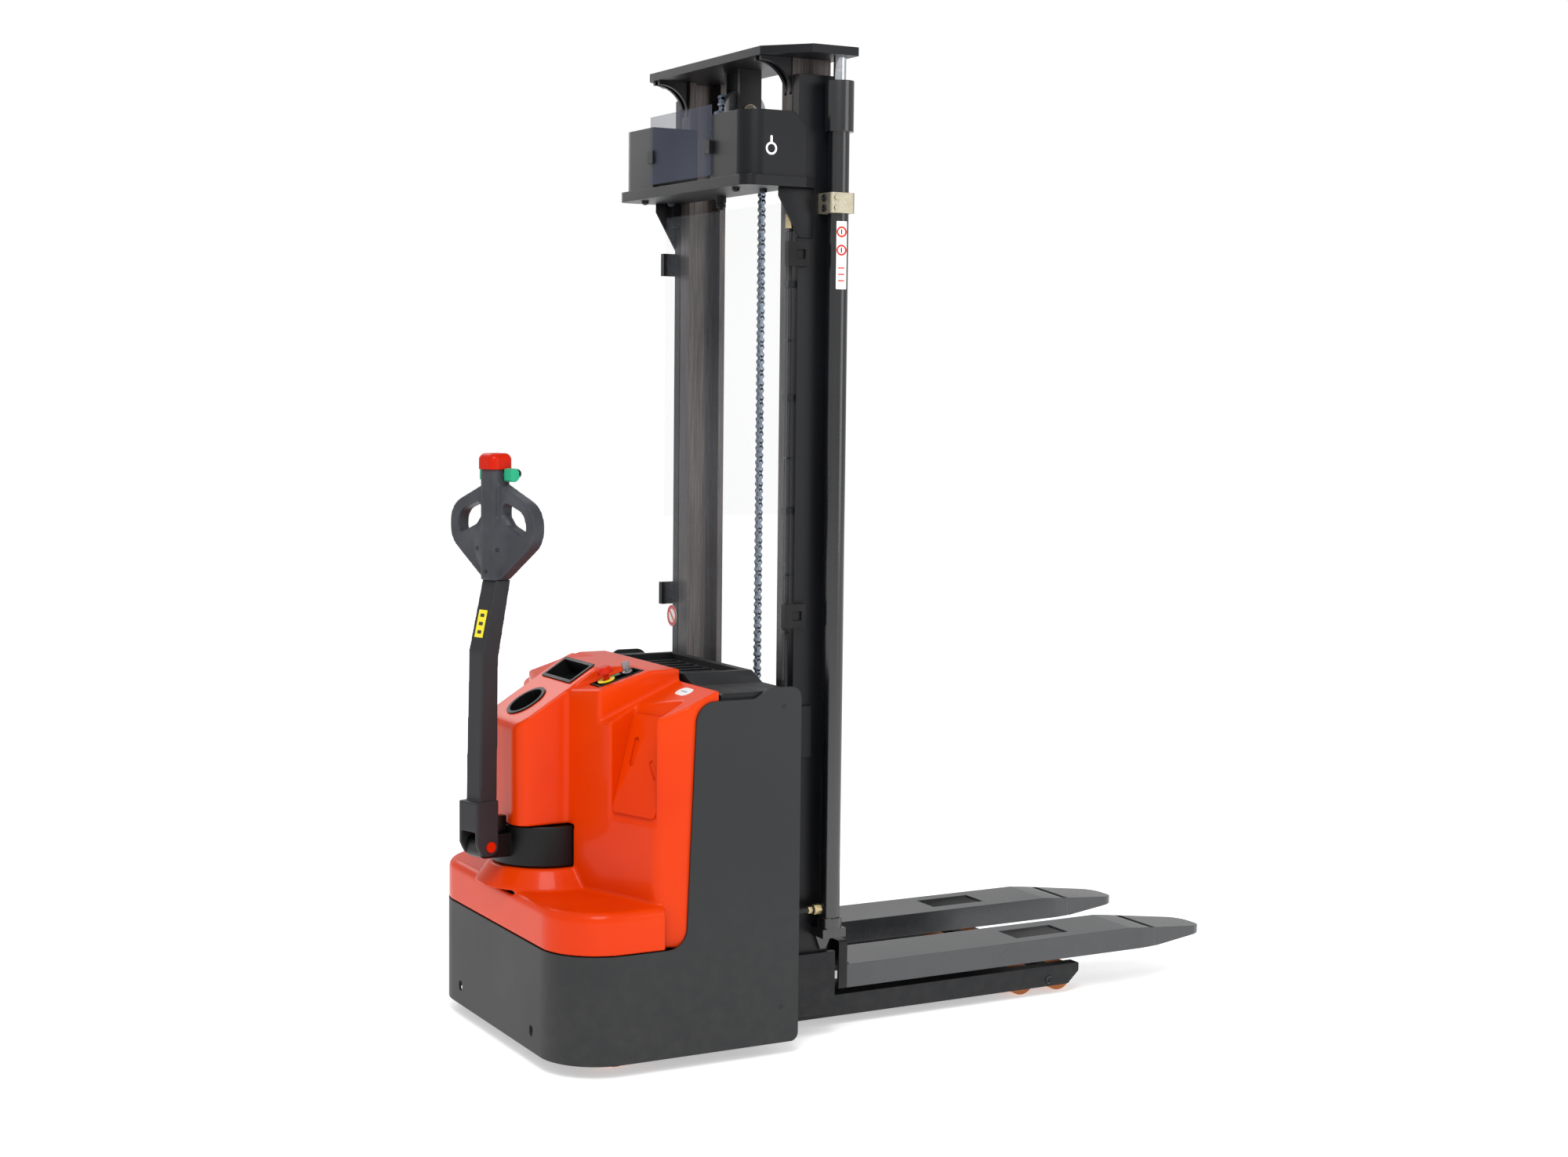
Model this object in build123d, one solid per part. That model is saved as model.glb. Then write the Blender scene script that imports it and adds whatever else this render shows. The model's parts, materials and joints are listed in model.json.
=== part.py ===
"""A walkie stacker: a pedestrian-steered electric truck that lifts pallets on two forks.

Millimetres, +Z up. While the pieces are modelled, x is 0 at the front edge of the side panels,
+X points to the fork tips and +Y to the machine's left. export_nodes() then centres the whole
truck over the origin, with z 0 on the floor.
"""

from build123d import *
import os
from math import cos, radians, sin, tan

# ---- Skirt, the grey U-shaped steel panel
skirt_half_width = 430.0
skirt_rear = -605.0
skirt_corner = 145.0
skirt_wall = 6.0
skirt_bottom = 33.0
skirt_top = 888.0
skirt_step = 864.0
skirt_edge_x = -275.0
ledge_bottom = 288.0

# ---- Red rear cover
cover_wall = 5.0
cover_gap = 0.5
deck_height = 390.0
hood_front = -215.0
wall_x_inner = -462.0
wall_x_outer = -366.0
shoulder_y = 400.0
hood_side_top = 891.0
hood_top = 915.0
dash_rear_top = 858.0
dash_half_width = 215.0
tower_half_width = 110.0
tower_rear = -592.0
tower_rear_top = 785.0
tower_slope_end = -385.0

# ---- Steering head
steer_x = -475.0
steer_angle_at_rest = 17.5
drum_radius = 128.0
drum_bottom = 441.0
drum_top = 539.0
running_gap = 3.0
hatch_gap = 2.0
column_radius = 60.0
drive_wheel_radius = 115.0
drive_wheel_width = 72.0

# ---- Tiller
tiller_reach = 196.0
tiller_pivot_z = 497.0
arm_width = 51.0
arm_depth = 52.0
cheek_thickness = 8.0
cheek_outer = 34.0
arm_root_depth = 41.0
arm_bend_z = 955.0
arm_bend_reach = 189.0
neck_reach = 150.0
neck_z = 1130.0
head_width = 310.0
head_height = 223.0
grip_radius = 17.0
pin_radius = 8.0
pin_clearance = 0.05
cap_travel = 6.0
spine_top = neck_z + head_height + 41
throttle_z = neck_z + head_height + 26

# ---- Battery cover
lid_rear = -210.0
lid_front = -14.0
lid_bottom = 868.0
lid_top = 880.0
plateau_top = 903.0
plateau_half_width = 215.0
lid_hinge_x = -8.0
lid_hinge_z = 892.0
lid_barrel_radius = 5.0
lid_pin_radius = 2.5
lid_hinge_half = 150.0

# ---- Chassis
floor_bottom = 60.0
plate = 8.0
battery_size = (160.0, 624.0, 560.0)
deck_bottom = 262.0
seat_gap = 0.4

# ---- Straddle legs
leg_outer = 265.0
leg_inner = 125.0
leg_bottom = 26.0
leg_top = 80.0
leg_tip = 945.0
foot_front = 16.0
foot_half_width = 345.0
foot_plate = 30.0
load_wheel_radius = 40.0
load_wheel_width = 62.0
load_wheel_xs = (791.0, 909.0)
axle_radius = 9.0

# ---- Mast
rail_rear = 31.0
rail_front = 135.0
rail_flange = 16.0
outer_rail_outside = 330.0
outer_rail_inside = 300.0
outer_rail_web = 10.0
outer_rail_top = 2330.0
inner_rail_outside = 296.0
inner_rail_inside = 246.0
inner_rail_web = 10.0
inner_rail_bottom = 125.0
top_plate_top = 2391.0
top_plate_thickness = 20.0
lift_travel = 1700.0
rest_lift = 35.0
beam_top = 2088.0
beam_thickness = 25.0
beam_rear = -124.0
tab_drop = 60.0
box_top = 2240.0
guard_top = 2028.0
guard_bottom = 890.0
guard_x = 6.0
guard_thickness = 5.0

# ---- Lift cylinders and chain
cylinder_x = 120.0
cylinder_y = 366.0
barrel_radius = 25.0
barrel_bore = 20.0
barrel_bottom = 283.0
barrel_top = 2314.0
collar_radius = 34.5
collar_bottom = 2195.0
rod_radius = 15.0
rod_bottom = 520.0
sheave_x = 53.0
sheave_z = 2270.0
sheave_radius = 51.0
chain_thickness = 12.0
chain_width = 20.0
chain_anchor_z = 460.0

# ---- Carriage and forks
fork_heel = 220.0
fork_length = 1150.0
fork_top = 160.0
fork_depth = 59.0
fork_width = 171.0
fork_outside = 285.0
fork_skin = 7.0
nose_length = 172.0
roller_radius = 35.0
carriage_side_inner = 222.0
carriage_side_outer = 238.0
roller_zs = (195.0, 590.0)
roller_x = 83.0
stub_radius = 14.0
stage_roller_z = 175.0
stage_stub_radius = 10.0
crossbar_bottom = 405.0
crossbar_top = 500.0

fork_tip = fork_heel + fork_length
rest_turn = radians(steer_angle_at_rest)
tiller_rear = steer_x - (tiller_reach + arm_root_depth) * cos(rest_turn) - cheek_outer * sin(rest_turn)
centre_x = (fork_tip + tiller_rear) / 2


# ---- Helpers
def block(x0, x1, y0, y1, z0, z1):
    """A box between two corners."""
    return Pos((x0 + x1) / 2, (y0 + y1) / 2, (z0 + z1) / 2) * Box(x1 - x0, y1 - y0, z1 - z0)


def outline(*corners):
    """A closed flat outline; each corner is (u, v) or (u, v, rounding radius)."""
    points = [(c[0], c[1]) for c in corners]
    radii = [c[2] if len(c) > 2 else 0 for c in corners]
    return make_face(FilletPolyline(*points, radius=radii, close=True))


def side_prism(face, y0, y1):
    """An outline drawn in x and z, as thick as from y0 to y1."""
    return Pos(0, y1, 0) * extrude(Plane.XZ * face, amount=y1 - y0)


def plan_prism(face, z0, z1):
    """An outline drawn in x and y, as tall as from z0 to z1."""
    return Pos(0, 0, z0) * extrude(face, amount=z1 - z0)


def front_prism(face, x0, x1):
    """An outline drawn in y and z, as deep as from x0 to x1."""
    return Pos(x0, 0, 0) * extrude(Plane.YZ * face, amount=x1 - x0)


def upright(x, y, radius, z0, z1):
    """A cylinder along Z."""
    return Pos(x, y, (z0 + z1) / 2) * Cylinder(radius, z1 - z0)


def crosswise(x, z, radius, y0, y1):
    """A cylinder along Y."""
    return Pos(x, (y0 + y1) / 2, z) * Rot(90, 0, 0) * Cylinder(radius, y1 - y0)


def lengthwise(y, z, radius, x0, x1):
    """A cylinder along X."""
    return Pos((x0 + x1) / 2, y, z) * Rot(0, 90, 0) * Cylinder(radius, x1 - x0)


def flip(shape):
    """The same shape on the other side of the machine."""
    return mirror(shape, about=Plane.XZ)


def group(*shapes):
    """Separate solids that share one node."""
    solids = []
    for shape in shapes:
        solids.extend(shape.solids())
    return Compound(children=solids)


def pair(shape):
    """A shape and its mirror image, as separate solids."""
    return group(shape, flip(shape))


def steered(shape):
    """Turns a piece of the steering head to where the tiller stands at rest."""
    return Pos(steer_x, 0, 0) * Rot(0, 0, steer_angle_at_rest) * Pos(-steer_x, 0, 0) * shape


# ---- Skirt and cover
def skirt_plan(inset, front):
    """The U of the skirt, seen from above."""
    half = skirt_half_width - inset
    rear = skirt_rear + inset
    corner = skirt_corner - inset
    return outline((front, -half), (rear, -half, corner), (rear, half, corner), (front, half))


def make_skirt():
    ring = plan_prism(skirt_plan(0, 0), skirt_bottom, skirt_top)
    ring -= plan_prism(skirt_plan(skirt_wall, 10), skirt_bottom - 1, skirt_top + 1)
    profile = outline(
        (0, skirt_bottom, 20),
        (0, skirt_top, 28),
        (-85, skirt_top, 18),
        (-125, skirt_step, 18),
        (skirt_edge_x, skirt_step, 50),
        (skirt_edge_x - 24, ledge_bottom, 48),
        (skirt_rear - 5, ledge_bottom),
        (skirt_rear - 5, skirt_bottom),
    )
    skirt = ring & side_prism(profile, -skirt_half_width - 1, skirt_half_width + 1)
    for side in (-1, 1):
        hole = outline((side * 218, 69, 10), (side * 240, 69, 10), (side * 240, 95, 10), (side * 218, 95, 10))
        skirt -= front_prism(hole, skirt_rear - 5, skirt_rear + 15)
    return skirt


slope_rise = (hood_top - tower_rear_top) / (tower_slope_end - tower_rear)
dash_end = -290.0
dash_rear = -480.0
dash_rise = (hood_top - dash_rear_top) / (dash_end - dash_rear)


def tower_plane(x):
    """The sloping top of the tower at one x, with its normal outwards."""
    z = tower_rear_top + slope_rise * (x - tower_rear)
    return Plane(origin=(x, 0, z), x_dir=(1, 0, slope_rise), z_dir=(-slope_rise, 0, 1))


def dash_plane(x, y):
    """The sloping top beside the tower, where the controls are."""
    z = dash_rear_top + dash_rise * (x - dash_rear)
    return Plane(origin=(x, y, z), x_dir=(1, 0, dash_rise), z_dir=(-dash_rise, 0, 1))


wall_run = wall_x_outer - wall_x_inner
wall_span = shoulder_y - tower_half_width
hatch_lean = 17.5
hatch_bottom = 592.0
hatch_y = -325.0
hatch_width = 146.0
hatch_height = 238.0
hatch_thickness = 7.0
hatch_barrel_radius = 3.0


def hatch_plane():
    """The leaning face that the hatch lies on: x along the face, y up it, z out of it."""
    x = wall_x_inner + wall_run * (-hatch_y - tower_half_width) / wall_span
    along = Vector(wall_run, -wall_span, 0).normalized()
    outward = Vector(-wall_span, -wall_run, 0).normalized()
    lean = radians(hatch_lean)
    normal = outward * cos(lean) + Vector(0, 0, 1) * sin(lean)
    return Plane(origin=(x, hatch_y, hatch_bottom), x_dir=along, z_dir=normal)


def cover_form(inset):
    """The cover's shape, all its faces moved in by inset."""
    half = skirt_half_width - 1 - inset
    rear = skirt_rear + 1 + inset
    corner = skirt_corner - 1 - inset
    base = ledge_bottom + cover_gap - (20 if inset else 0)
    band_front = skirt_edge_x - 76
    band = outline((band_front, -half), (rear, -half, corner), (rear, half, corner), (band_front, half))
    band = plan_prism(band, base, deck_height - inset)
    band = fillet(band.faces().sort_by(Axis.Z)[-1].edges().filter_by(lambda e: e.center().X < band_front - 1), 22)
    inner_half = skirt_half_width - skirt_wall - cover_gap - inset
    plan = outline(
        (hood_front + (30 if inset else 0), -inner_half),
        (-300 + inset, -inner_half, 10),
        (wall_x_outer + inset, inset - shoulder_y, 40),
        (wall_x_inner + inset, -tower_half_width),
        (wall_x_inner + inset, tower_half_width),
        (wall_x_outer + inset, shoulder_y - inset, 40),
        (-300 + inset, inner_half, 10),
        (hood_front + (30 if inset else 0), inner_half),
    )
    hood = plan_prism(plan, base, hood_top + 20)
    sides = outline((dash_rear, base), (dash_rear, 775 - inset), (-180, 904 - inset), (-180, base))
    middle = outline(
        (dash_rear, base), (dash_rear, dash_rear_top - inset), (dash_end, hood_top - inset, 20),
        (-180, hood_top - inset), (-180, base),
    )
    middle_half = dash_half_width - inset
    tops = side_prism(sides, -skirt_half_width, skirt_half_width) + side_prism(middle, -middle_half, middle_half)
    hood = hood & tops
    tower_half = tower_half_width - inset
    tower_plan = outline(
        (tower_rear + inset, -tower_half, 38), (tower_rear + inset, tower_half, 38), (-250, tower_half), (-250, -tower_half)
    )
    tower_bottom = drum_top + running_gap + inset
    tower_side = outline(
        (tower_rear + inset, tower_bottom), (tower_rear + inset, tower_rear_top - inset, 30),
        (tower_slope_end, hood_top - inset, 25), (-250, hood_top - inset), (-250, tower_bottom),
    )
    tower = plan_prism(tower_plan, tower_bottom, hood_top + 1) & side_prism(tower_side, -tower_half, tower_half)
    pedestal = Pos(steer_x, 0, (deck_height + drum_bottom - running_gap) / 2 - 2 * inset) * Cone(
        170 - inset, drum_radius + 6 - inset, drum_bottom - running_gap - deck_height)
    form = band + hood + tower + pedestal
    pocket = Pos(0, 150, 60 - inset - hatch_thickness) * Box(hatch_width + 2 * hatch_gap + 2 * inset, 320, 120)
    pocket_floor = Pos(0, -8 + inset, 0)
    form -= hatch_plane() * (pocket_floor * pocket)
    return form


def make_rear_cover():
    cover = cover_form(0) - cover_form(cover_wall)
    cover -= upright(steer_x, 0, drum_radius + running_gap, drum_bottom - running_gap, drum_top + running_gap)
    cover -= upright(steer_x, 0, 98, deck_height - 40, drum_bottom + 10)
    cover -= hatch_plane() * hatch_barrels(0.6)
    cover -= tower_plane(cup_x) * Pos(0, 0, -20) * Cylinder(cup_radius + 1, 90)
    cover -= tower_plane(tray_x) * Pos(0, 0, -20) * Box(tray_length + 2, tray_width + 2, 70)
    cover -= dash_plane(dash_x, dash_y) * Pos(0, 0, -15) * Box(dash_length + 1, dash_width + 1, 50)
    return cover.solids().sort_by(SortBy.VOLUME)[-1]


def hatch_barrels(grow):
    """Two knuckles on the hatch's hinged edge, or the room for them when grown."""
    knuckles = [
        Pos(hatch_width / 2, y, 0) * Rot(90, 0, 0) * Cylinder(hatch_barrel_radius + grow, 30 + 2 * grow)
        for y in (60, 178)
    ]
    return knuckles[0] + knuckles[1]


def make_hatch():
    panel = Pos(0, hatch_height / 2, -hatch_thickness / 2) * Box(hatch_width, hatch_height, hatch_thickness)
    panel = fillet(panel.edges().filter_by(Axis.Z), 14)
    slot = Pos(-hatch_width / 2 + 30, hatch_height * 0.62, 0) * SlotOverall(70, 17, rotation=90)
    panel -= extrude(slot, amount=30, both=True)
    pocket = Pos(34, hatch_height * 0.47, 0) * SlotOverall(52, 15, rotation=-52)
    panel -= Pos(0, 0, -4) * extrude(pocket, amount=30)
    panel += hatch_barrels(0)
    return hatch_plane() * panel


# ---- Cup, tray and controls on the cover
cup_x = -523.0
cup_radius = 47.0
cup_depth = 72.0
tray_x = -413.0
tray_length = 66.0
tray_width = 158.0
tray_depth = 40.0
liner_wall = 3.0
dash_x = -353.0
dash_y = -152.0
dash_length = 118.0
dash_width = 60.0
estop_at = -26.0
key_at = 30.0


def make_cup_liner():
    liner = Pos(0, 0, -cup_depth / 2) * Cylinder(cup_radius, cup_depth)
    liner += Pos(0, 0, 1.5) * Cylinder(cup_radius + 6, 3)
    liner -= Pos(0, 0, 10 - cup_depth / 2 + liner_wall) * Cylinder(cup_radius - liner_wall, cup_depth + 20)
    return tower_plane(cup_x) * liner


def make_tray_liner():
    liner = Pos(0, 0, -tray_depth / 2) * Box(tray_length, tray_width, tray_depth)
    liner += Pos(0, 0, 1.5) * Box(tray_length + 12, tray_width + 12, 3)
    hollow = Box(tray_length - 2 * liner_wall, tray_width - 2 * liner_wall, tray_depth + 20)
    liner -= Pos(0, 0, 10 - tray_depth / 2 + liner_wall) * hollow
    return tower_plane(tray_x) * liner


def make_dash_panel():
    panel = Pos(0, 0, -10) * Box(dash_length, dash_width, 20)
    panel -= Pos(0, 0, 0) * Box(dash_length - 8, dash_width - 8, 24)
    panel += Pos(estop_at, 0, -6) * Cylinder(17, 12)
    panel += Pos(key_at, 0, -5) * Cylinder(12, 14)
    panel += Pos(2, 16, -8) * Box(26, 16, 10)
    panel -= Pos(estop_at, 0, -5) * Cylinder(7 + 0.4, 14)
    panel -= Pos(key_at, 0, -2) * Cylinder(5 + 0.4, 10)
    return dash_plane(dash_x, dash_y) * panel


def make_estop():
    button = Pos(0, 0, 9.5) * Cylinder(7, 29)
    button += Pos(0, 0, 24) * Cylinder(19, 9)
    button += Pos(0, 0, 31.5) * Cone(19, 13, 6)
    return dash_plane(dash_x, dash_y) * Pos(estop_at, 0, 0) * button


def make_key():
    key = Pos(0, 0, 3) * Cylinder(5, 18)
    bow = Pos(0, 0, 18) * Rot(90, 0, 0) * Box(20, 20, 4)
    return dash_plane(dash_x, dash_y) * Pos(key_at, 0, 0) * (key + bow)


# ---- Battery cover, chassis and what the body holds
def make_battery_cover():
    half = skirt_half_width - skirt_wall - running_gap
    front = lid_front
    rear = lid_rear
    lid = block(rear, front, -half, half, lid_bottom, lid_top)
    lid = fillet(lid.edges().filter_by(Axis.Y).sort_by(Axis.Z)[-2:], 8)
    top_half = plateau_half_width
    raised = front_prism(
        outline(
            (-top_half - 60, lid_top - 2), (-top_half, plateau_top, 6), (top_half, plateau_top, 6),
            (top_half + 60, lid_top - 2),
        ),
        rear + 4, front - 6,
    )
    lid += raised
    lid -= block(rear + 22, front - 26, 22 - top_half, top_half - 22, plateau_top - 16, plateau_top + 5)
    lid -= block(rear + 6, front - 6, 6 - half, half - 6, lid_bottom - 1, lid_top - 5)
    ear_far = lid_hinge_half + plate + 1
    for side in (-1, 1):
        near, far = sorted((side * lid_hinge_half, side * ear_far))
        lid -= block(front - 6, front + 1, near, far, lid_bottom - 1, lid_top + 1)
    barrel_half = lid_hinge_half - 0.5
    leaf_low = lid_hinge_z - lid_barrel_radius
    lid += block(front - 7, lid_hinge_x, -barrel_half, barrel_half, leaf_low, lid_hinge_z)
    lid += crosswise(lid_hinge_x, lid_hinge_z, lid_barrel_radius, -barrel_half, barrel_half)
    lid -= crosswise(lid_hinge_x, lid_hinge_z, lid_pin_radius + pin_clearance, -half, half)
    return lid


def make_chassis():
    half = skirt_half_width - skirt_wall - cover_gap
    inner = half - plate
    seat = lid_bottom - seat_gap
    rear = lid_rear - 2
    frame = block(-16, -8, -half, half, floor_bottom, seat)
    frame += block(rear, rear + plate, -half, half, floor_bottom, seat)
    for side in (-1, 1):
        y0, y1 = sorted((side * inner, side * half))
        frame += block(rear, -8, y0, y1, floor_bottom, seat)
        y0, y1 = sorted((side * 372, side * 380))
        frame += block(-470, rear + plate, y0, y1, 120, deck_bottom)
        y0, y1 = sorted((side * outer_rail_outside, side * (outer_rail_outside + plate)))
        frame += block(-8, 80, y0, y1, 700, 825)
        y0, y1 = sorted((side * leg_outer, side * foot_half_width))
        frame += block(-8, 150, y0, y1, floor_bottom, floor_bottom + foot_plate)
        y0, y1 = sorted((side * (outer_rail_outside + 1), side * foot_half_width))
        frame += block(foot_front - 4, 150, y0, y1, floor_bottom + 10, 215)
    frame += block(rear, -8, -half, half, floor_bottom, floor_bottom + plate)
    frame += block(-560, rear + plate, -250, 250, deck_bottom, deck_bottom + plate)
    frame += block(-470, rear + plate, -380, 380, deck_bottom - plate, deck_bottom + plate)
    frame -= upright(steer_x, 0, column_radius + pin_clearance, deck_bottom - 20, deck_bottom + 20)
    frame += block(-8, foot_front, -foot_half_width, foot_half_width, floor_bottom, 205)
    for side in (-1, 1):
        near, far = sorted((side * lid_hinge_half, side * (lid_hinge_half + plate)))
        frame += block(-16, lid_hinge_x, near, far, lid_hinge_z - 40, seat)
        frame += block(-13, lid_hinge_x, near, far, seat - 1, lid_hinge_z)
        frame += crosswise(lid_hinge_x, lid_hinge_z, lid_barrel_radius, near, far)
    pin_half = lid_hinge_half + plate
    frame += crosswise(lid_hinge_x, lid_hinge_z, lid_pin_radius, -pin_half, pin_half)
    return frame


def make_battery():
    length, width, height = battery_size
    bottom = floor_bottom + plate
    case = block(-110 - length / 2, -110 + length / 2, -width / 2, width / 2, bottom, bottom + height)
    caps = [upright(-110, y, 16, bottom + height, bottom + height + 12) for y in (-250, -150, -50, 50, 150, 250)]
    return case + caps


def make_pump_unit():
    tank = block(-330, -230, 130, 330, deck_bottom + plate, 470)
    motor = crosswise(-280, 540, 55, 130, 290)
    base = block(-310, -250, 150, 270, 470, 500)
    return tank + base + motor


def make_controller():
    body = block(-240, -212, -330, -150, 330, 560)
    fins = [block(-262, -240, y, y + 6, 340, 550) for y in range(-325, -155, 20)]
    return body + fins


def make_leg():
    y0, y1 = leg_inner, leg_outer
    profile = outline(
        (foot_front, leg_bottom), (foot_front, leg_top), (leg_tip, leg_top, 4),
        (leg_tip, leg_top - 22, 6), (leg_tip - 34, leg_bottom, 8),
    )
    leg = side_prism(profile, y0, y1)
    leg -= block(foot_front + 160, leg_tip + 5, y0 + plate, y1 - plate, leg_bottom - 1, leg_top - 7)
    mid = (y0 + y1) / 2
    pocket = load_wheel_width / 2 + 6
    for x in load_wheel_xs:
        leg -= block(x - 46, x + 46, mid - pocket, mid + pocket, leg_bottom, leg_top + 1)
    pivot_x = sum(load_wheel_xs) / 2
    leg -= crosswise(pivot_x, 43, axle_radius + pin_clearance, y0 - 1, y1 + 1)
    return leg


bogie_z = 43.0


def make_bogie():
    """A rocking pair of side plates on one cross pin, with a wheel axle at each end."""
    mid = (leg_inner + leg_outer) / 2
    pivot_x = sum(load_wheel_xs) / 2
    solids = crosswise(pivot_x, bogie_z, axle_radius, leg_inner - 2, leg_outer + 4)
    gap = load_wheel_width / 2 + 1.5
    for sign in (-1, 1):
        near, far = sorted((mid + sign * gap, mid + sign * (gap + 6)))
        cheek = outline(
            (load_wheel_xs[0] - 16, bogie_z - 18, 12), (load_wheel_xs[1] + 16, bogie_z - 18, 12),
            (load_wheel_xs[1] + 16, bogie_z + 14, 12), (load_wheel_xs[0] - 16, bogie_z + 14, 12),
        )
        solids += side_prism(cheek, near, far)
    for x in load_wheel_xs:
        solids += crosswise(x, load_wheel_radius, axle_radius, mid - gap - 6, mid + gap + 6)
    return solids


def make_load_wheel(x):
    mid = (leg_inner + leg_outer) / 2
    half = load_wheel_width / 2
    wheel = crosswise(x, load_wheel_radius, load_wheel_radius, mid - half, mid + half)
    wheel = fillet(wheel.edges(), 4)
    return wheel - crosswise(x, load_wheel_radius, axle_radius + pin_clearance, mid - half - 1, mid + half + 1)


caster_x = -405.0
caster_y = 318.0
caster_radius = 50.0
caster_trail = 28.0
caster_wheel_width = 40.0


def make_caster_fork():
    plate_z = 254.0
    fork = upright(caster_x, caster_y, 15, 110, plate_z - 0.3)
    fork += upright(caster_x, caster_y, 42, 114, 122)
    x = caster_x - caster_trail
    half = caster_wheel_width / 2 + 2
    for sign in (-1, 1):
        near, far = sorted((caster_y + sign * half, caster_y + sign * (half + 6)))
        cheek = outline((x - 16, caster_radius - 14, 12), (x + 16, caster_radius - 14, 12), (caster_x + 26, 118), (caster_x - 34, 118))
        fork += side_prism(cheek, near, far)
    fork += crosswise(x, caster_radius, 8, caster_y - half - 6, caster_y + half + 6)
    return fork


def make_caster_wheel():
    x = caster_x - caster_trail
    half = caster_wheel_width / 2
    wheel = fillet(crosswise(x, caster_radius, caster_radius, caster_y - half, caster_y + half).edges(), 5)
    return wheel - crosswise(x, caster_radius, 8 + pin_clearance, caster_y - half - 1, caster_y + half + 1)


# ---- Mast
def rail(outside, inside, web, bottom, top):
    """A channel that opens towards the middle of the mast, on the left side."""
    channel = block(rail_rear, rail_front, inside, outside, bottom, top)
    return channel - block(rail_rear + rail_flange, rail_front - rail_flange, inside - 1, outside - web, bottom - 1, top + 1)


def make_outer_rail():
    return rail(outer_rail_outside, outer_rail_inside, outer_rail_web, floor_bottom + foot_plate, outer_rail_top)


def make_inner_rail():
    top = top_plate_top - top_plate_thickness
    channel = rail(inner_rail_outside, inner_rail_inside, inner_rail_web, inner_rail_bottom, top)
    stub = crosswise(roller_x, stage_roller_z, stage_stub_radius, inner_rail_outside - 1, outer_rail_inside + 19)
    return channel + stub


def make_mast_ties():
    """The cross members that hold the two inner rails apart."""
    return block(rail_rear - 12, rail_rear, 4 - inner_rail_outside, inner_rail_outside - 4, 210, 330)


def make_top_plate():
    low = top_plate_top - top_plate_thickness
    plan = outline(
        (-59, -302, 6), (28, -403, 6), (152, -403, 6), (152, 403, 6), (28, 403, 6), (-59, 302, 6),
    )
    weldment = plan_prism(plan, low, top_plate_top)
    gusset = make_face(
        Polyline((rail_rear, low), (-52, low), (-52, low - 10))
        + ThreePointArc((-52, low - 10), (8, low - 32), (rail_rear, low - 86))
        + Line((rail_rear, low - 86), (rail_rear, low))
    )
    for y in (262, 288):
        rib = side_prism(gusset, y - 5, y + 5)
        weldment += rib
        weldment += flip(rib)
    for y in (-36, 36):
        weldment += block(24, 84, y - 6, y + 6, sheave_z - 24, low)
    weldment += crosswise(sheave_x, sheave_z, 12, -46, 46)
    return weldment


def make_sheave():
    half = chain_width / 2 + 0.6
    wheel = crosswise(sheave_x, sheave_z, sheave_radius, -half, half)
    for sign in (-1, 1):
        near, far = sorted((sign * half, sign * (half + 5)))
        wheel += crosswise(sheave_x, sheave_z, sheave_radius + 7, near, far)
    return wheel - crosswise(sheave_x, sheave_z, 12 + pin_clearance, -30, 30)


chain_middle = sheave_radius + 0.4 + chain_thickness / 2


def chain_leg(x, z0, z1):
    return block(x - chain_thickness / 2, x + chain_thickness / 2, -chain_width / 2, chain_width / 2, z0, z1)


def make_rear_chain():
    return chain_leg(sheave_x - chain_middle, beam_top + 0.3, sheave_z - 0.3)


def make_front_chain():
    leg = chain_leg(sheave_x + chain_middle, chain_anchor_z + 0.3, sheave_z)
    ring = crosswise(sheave_x, sheave_z, chain_middle + chain_thickness / 2, -chain_width / 2, chain_width / 2)
    ring -= crosswise(sheave_x, sheave_z, chain_middle - chain_thickness / 2, -chain_width, chain_width)
    ring &= block(sheave_x - 90, sheave_x + 90, -30, 30, sheave_z, sheave_z + 90)
    return leg + ring


def make_crossbeam():
    low = beam_top - beam_thickness
    plan = outline(
        (beam_rear, -352, 30), (40, -352, 4), (72, -344, 4), (72, -outer_rail_outside), (rail_rear - 1, -outer_rail_outside),
        (rail_rear - 1, outer_rail_outside), (72, outer_rail_outside), (72, 344, 4), (40, 352, 4), (beam_rear, 352, 30),
    )
    beam = plan_prism(plan, low, beam_top)
    tab = block(rail_rear - 22, rail_rear, outer_rail_inside, outer_rail_outside, low - tab_drop, beam_top + 90)
    beam += tab
    beam += flip(tab)
    bolt_x = sheave_x - chain_middle
    beam += upright(bolt_x, 0, 7, low - 34, low)
    beam += upright(bolt_x, 0, 13, low - 16, low)
    beam += upright(bolt_x, 0, 12, low - 28, low - 18)
    return beam


def make_beam_cover():
    """Two rounded housings on the crossbeam, with an open window between them."""
    rear = beam_rear + 8
    def form(inset, floor, top, front):
        return plan_prism(
            outline((front, 158 + inset), (rear + inset, 158 + inset), (rear + inset, 342 - inset, 48 - inset), (front, 342 - inset)),
            floor, top,
        )
    shell = form(0, beam_top, box_top, 46) - form(4, beam_top - 1, box_top - 4, 60)
    shell -= block(rail_rear - 23, 60, 150, outer_rail_outside + 1, beam_top - 1, box_top + 1)
    shell -= side_prism(outline((10, box_top + 2), (60, box_top - 48), (60, box_top + 2)), 300, 360)
    return pair(shell.solids().sort_by(SortBy.VOLUME)[-1])


def make_beam_screen():
    x = beam_rear + 8
    screen = block(x - 4.3, x - 0.3, -166, 166, beam_top + 8, box_top + 24)
    return screen


def make_mast_guard():
    return block(guard_x - guard_thickness / 2, guard_x + guard_thickness / 2, -328, 328, guard_bottom, guard_top)


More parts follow.
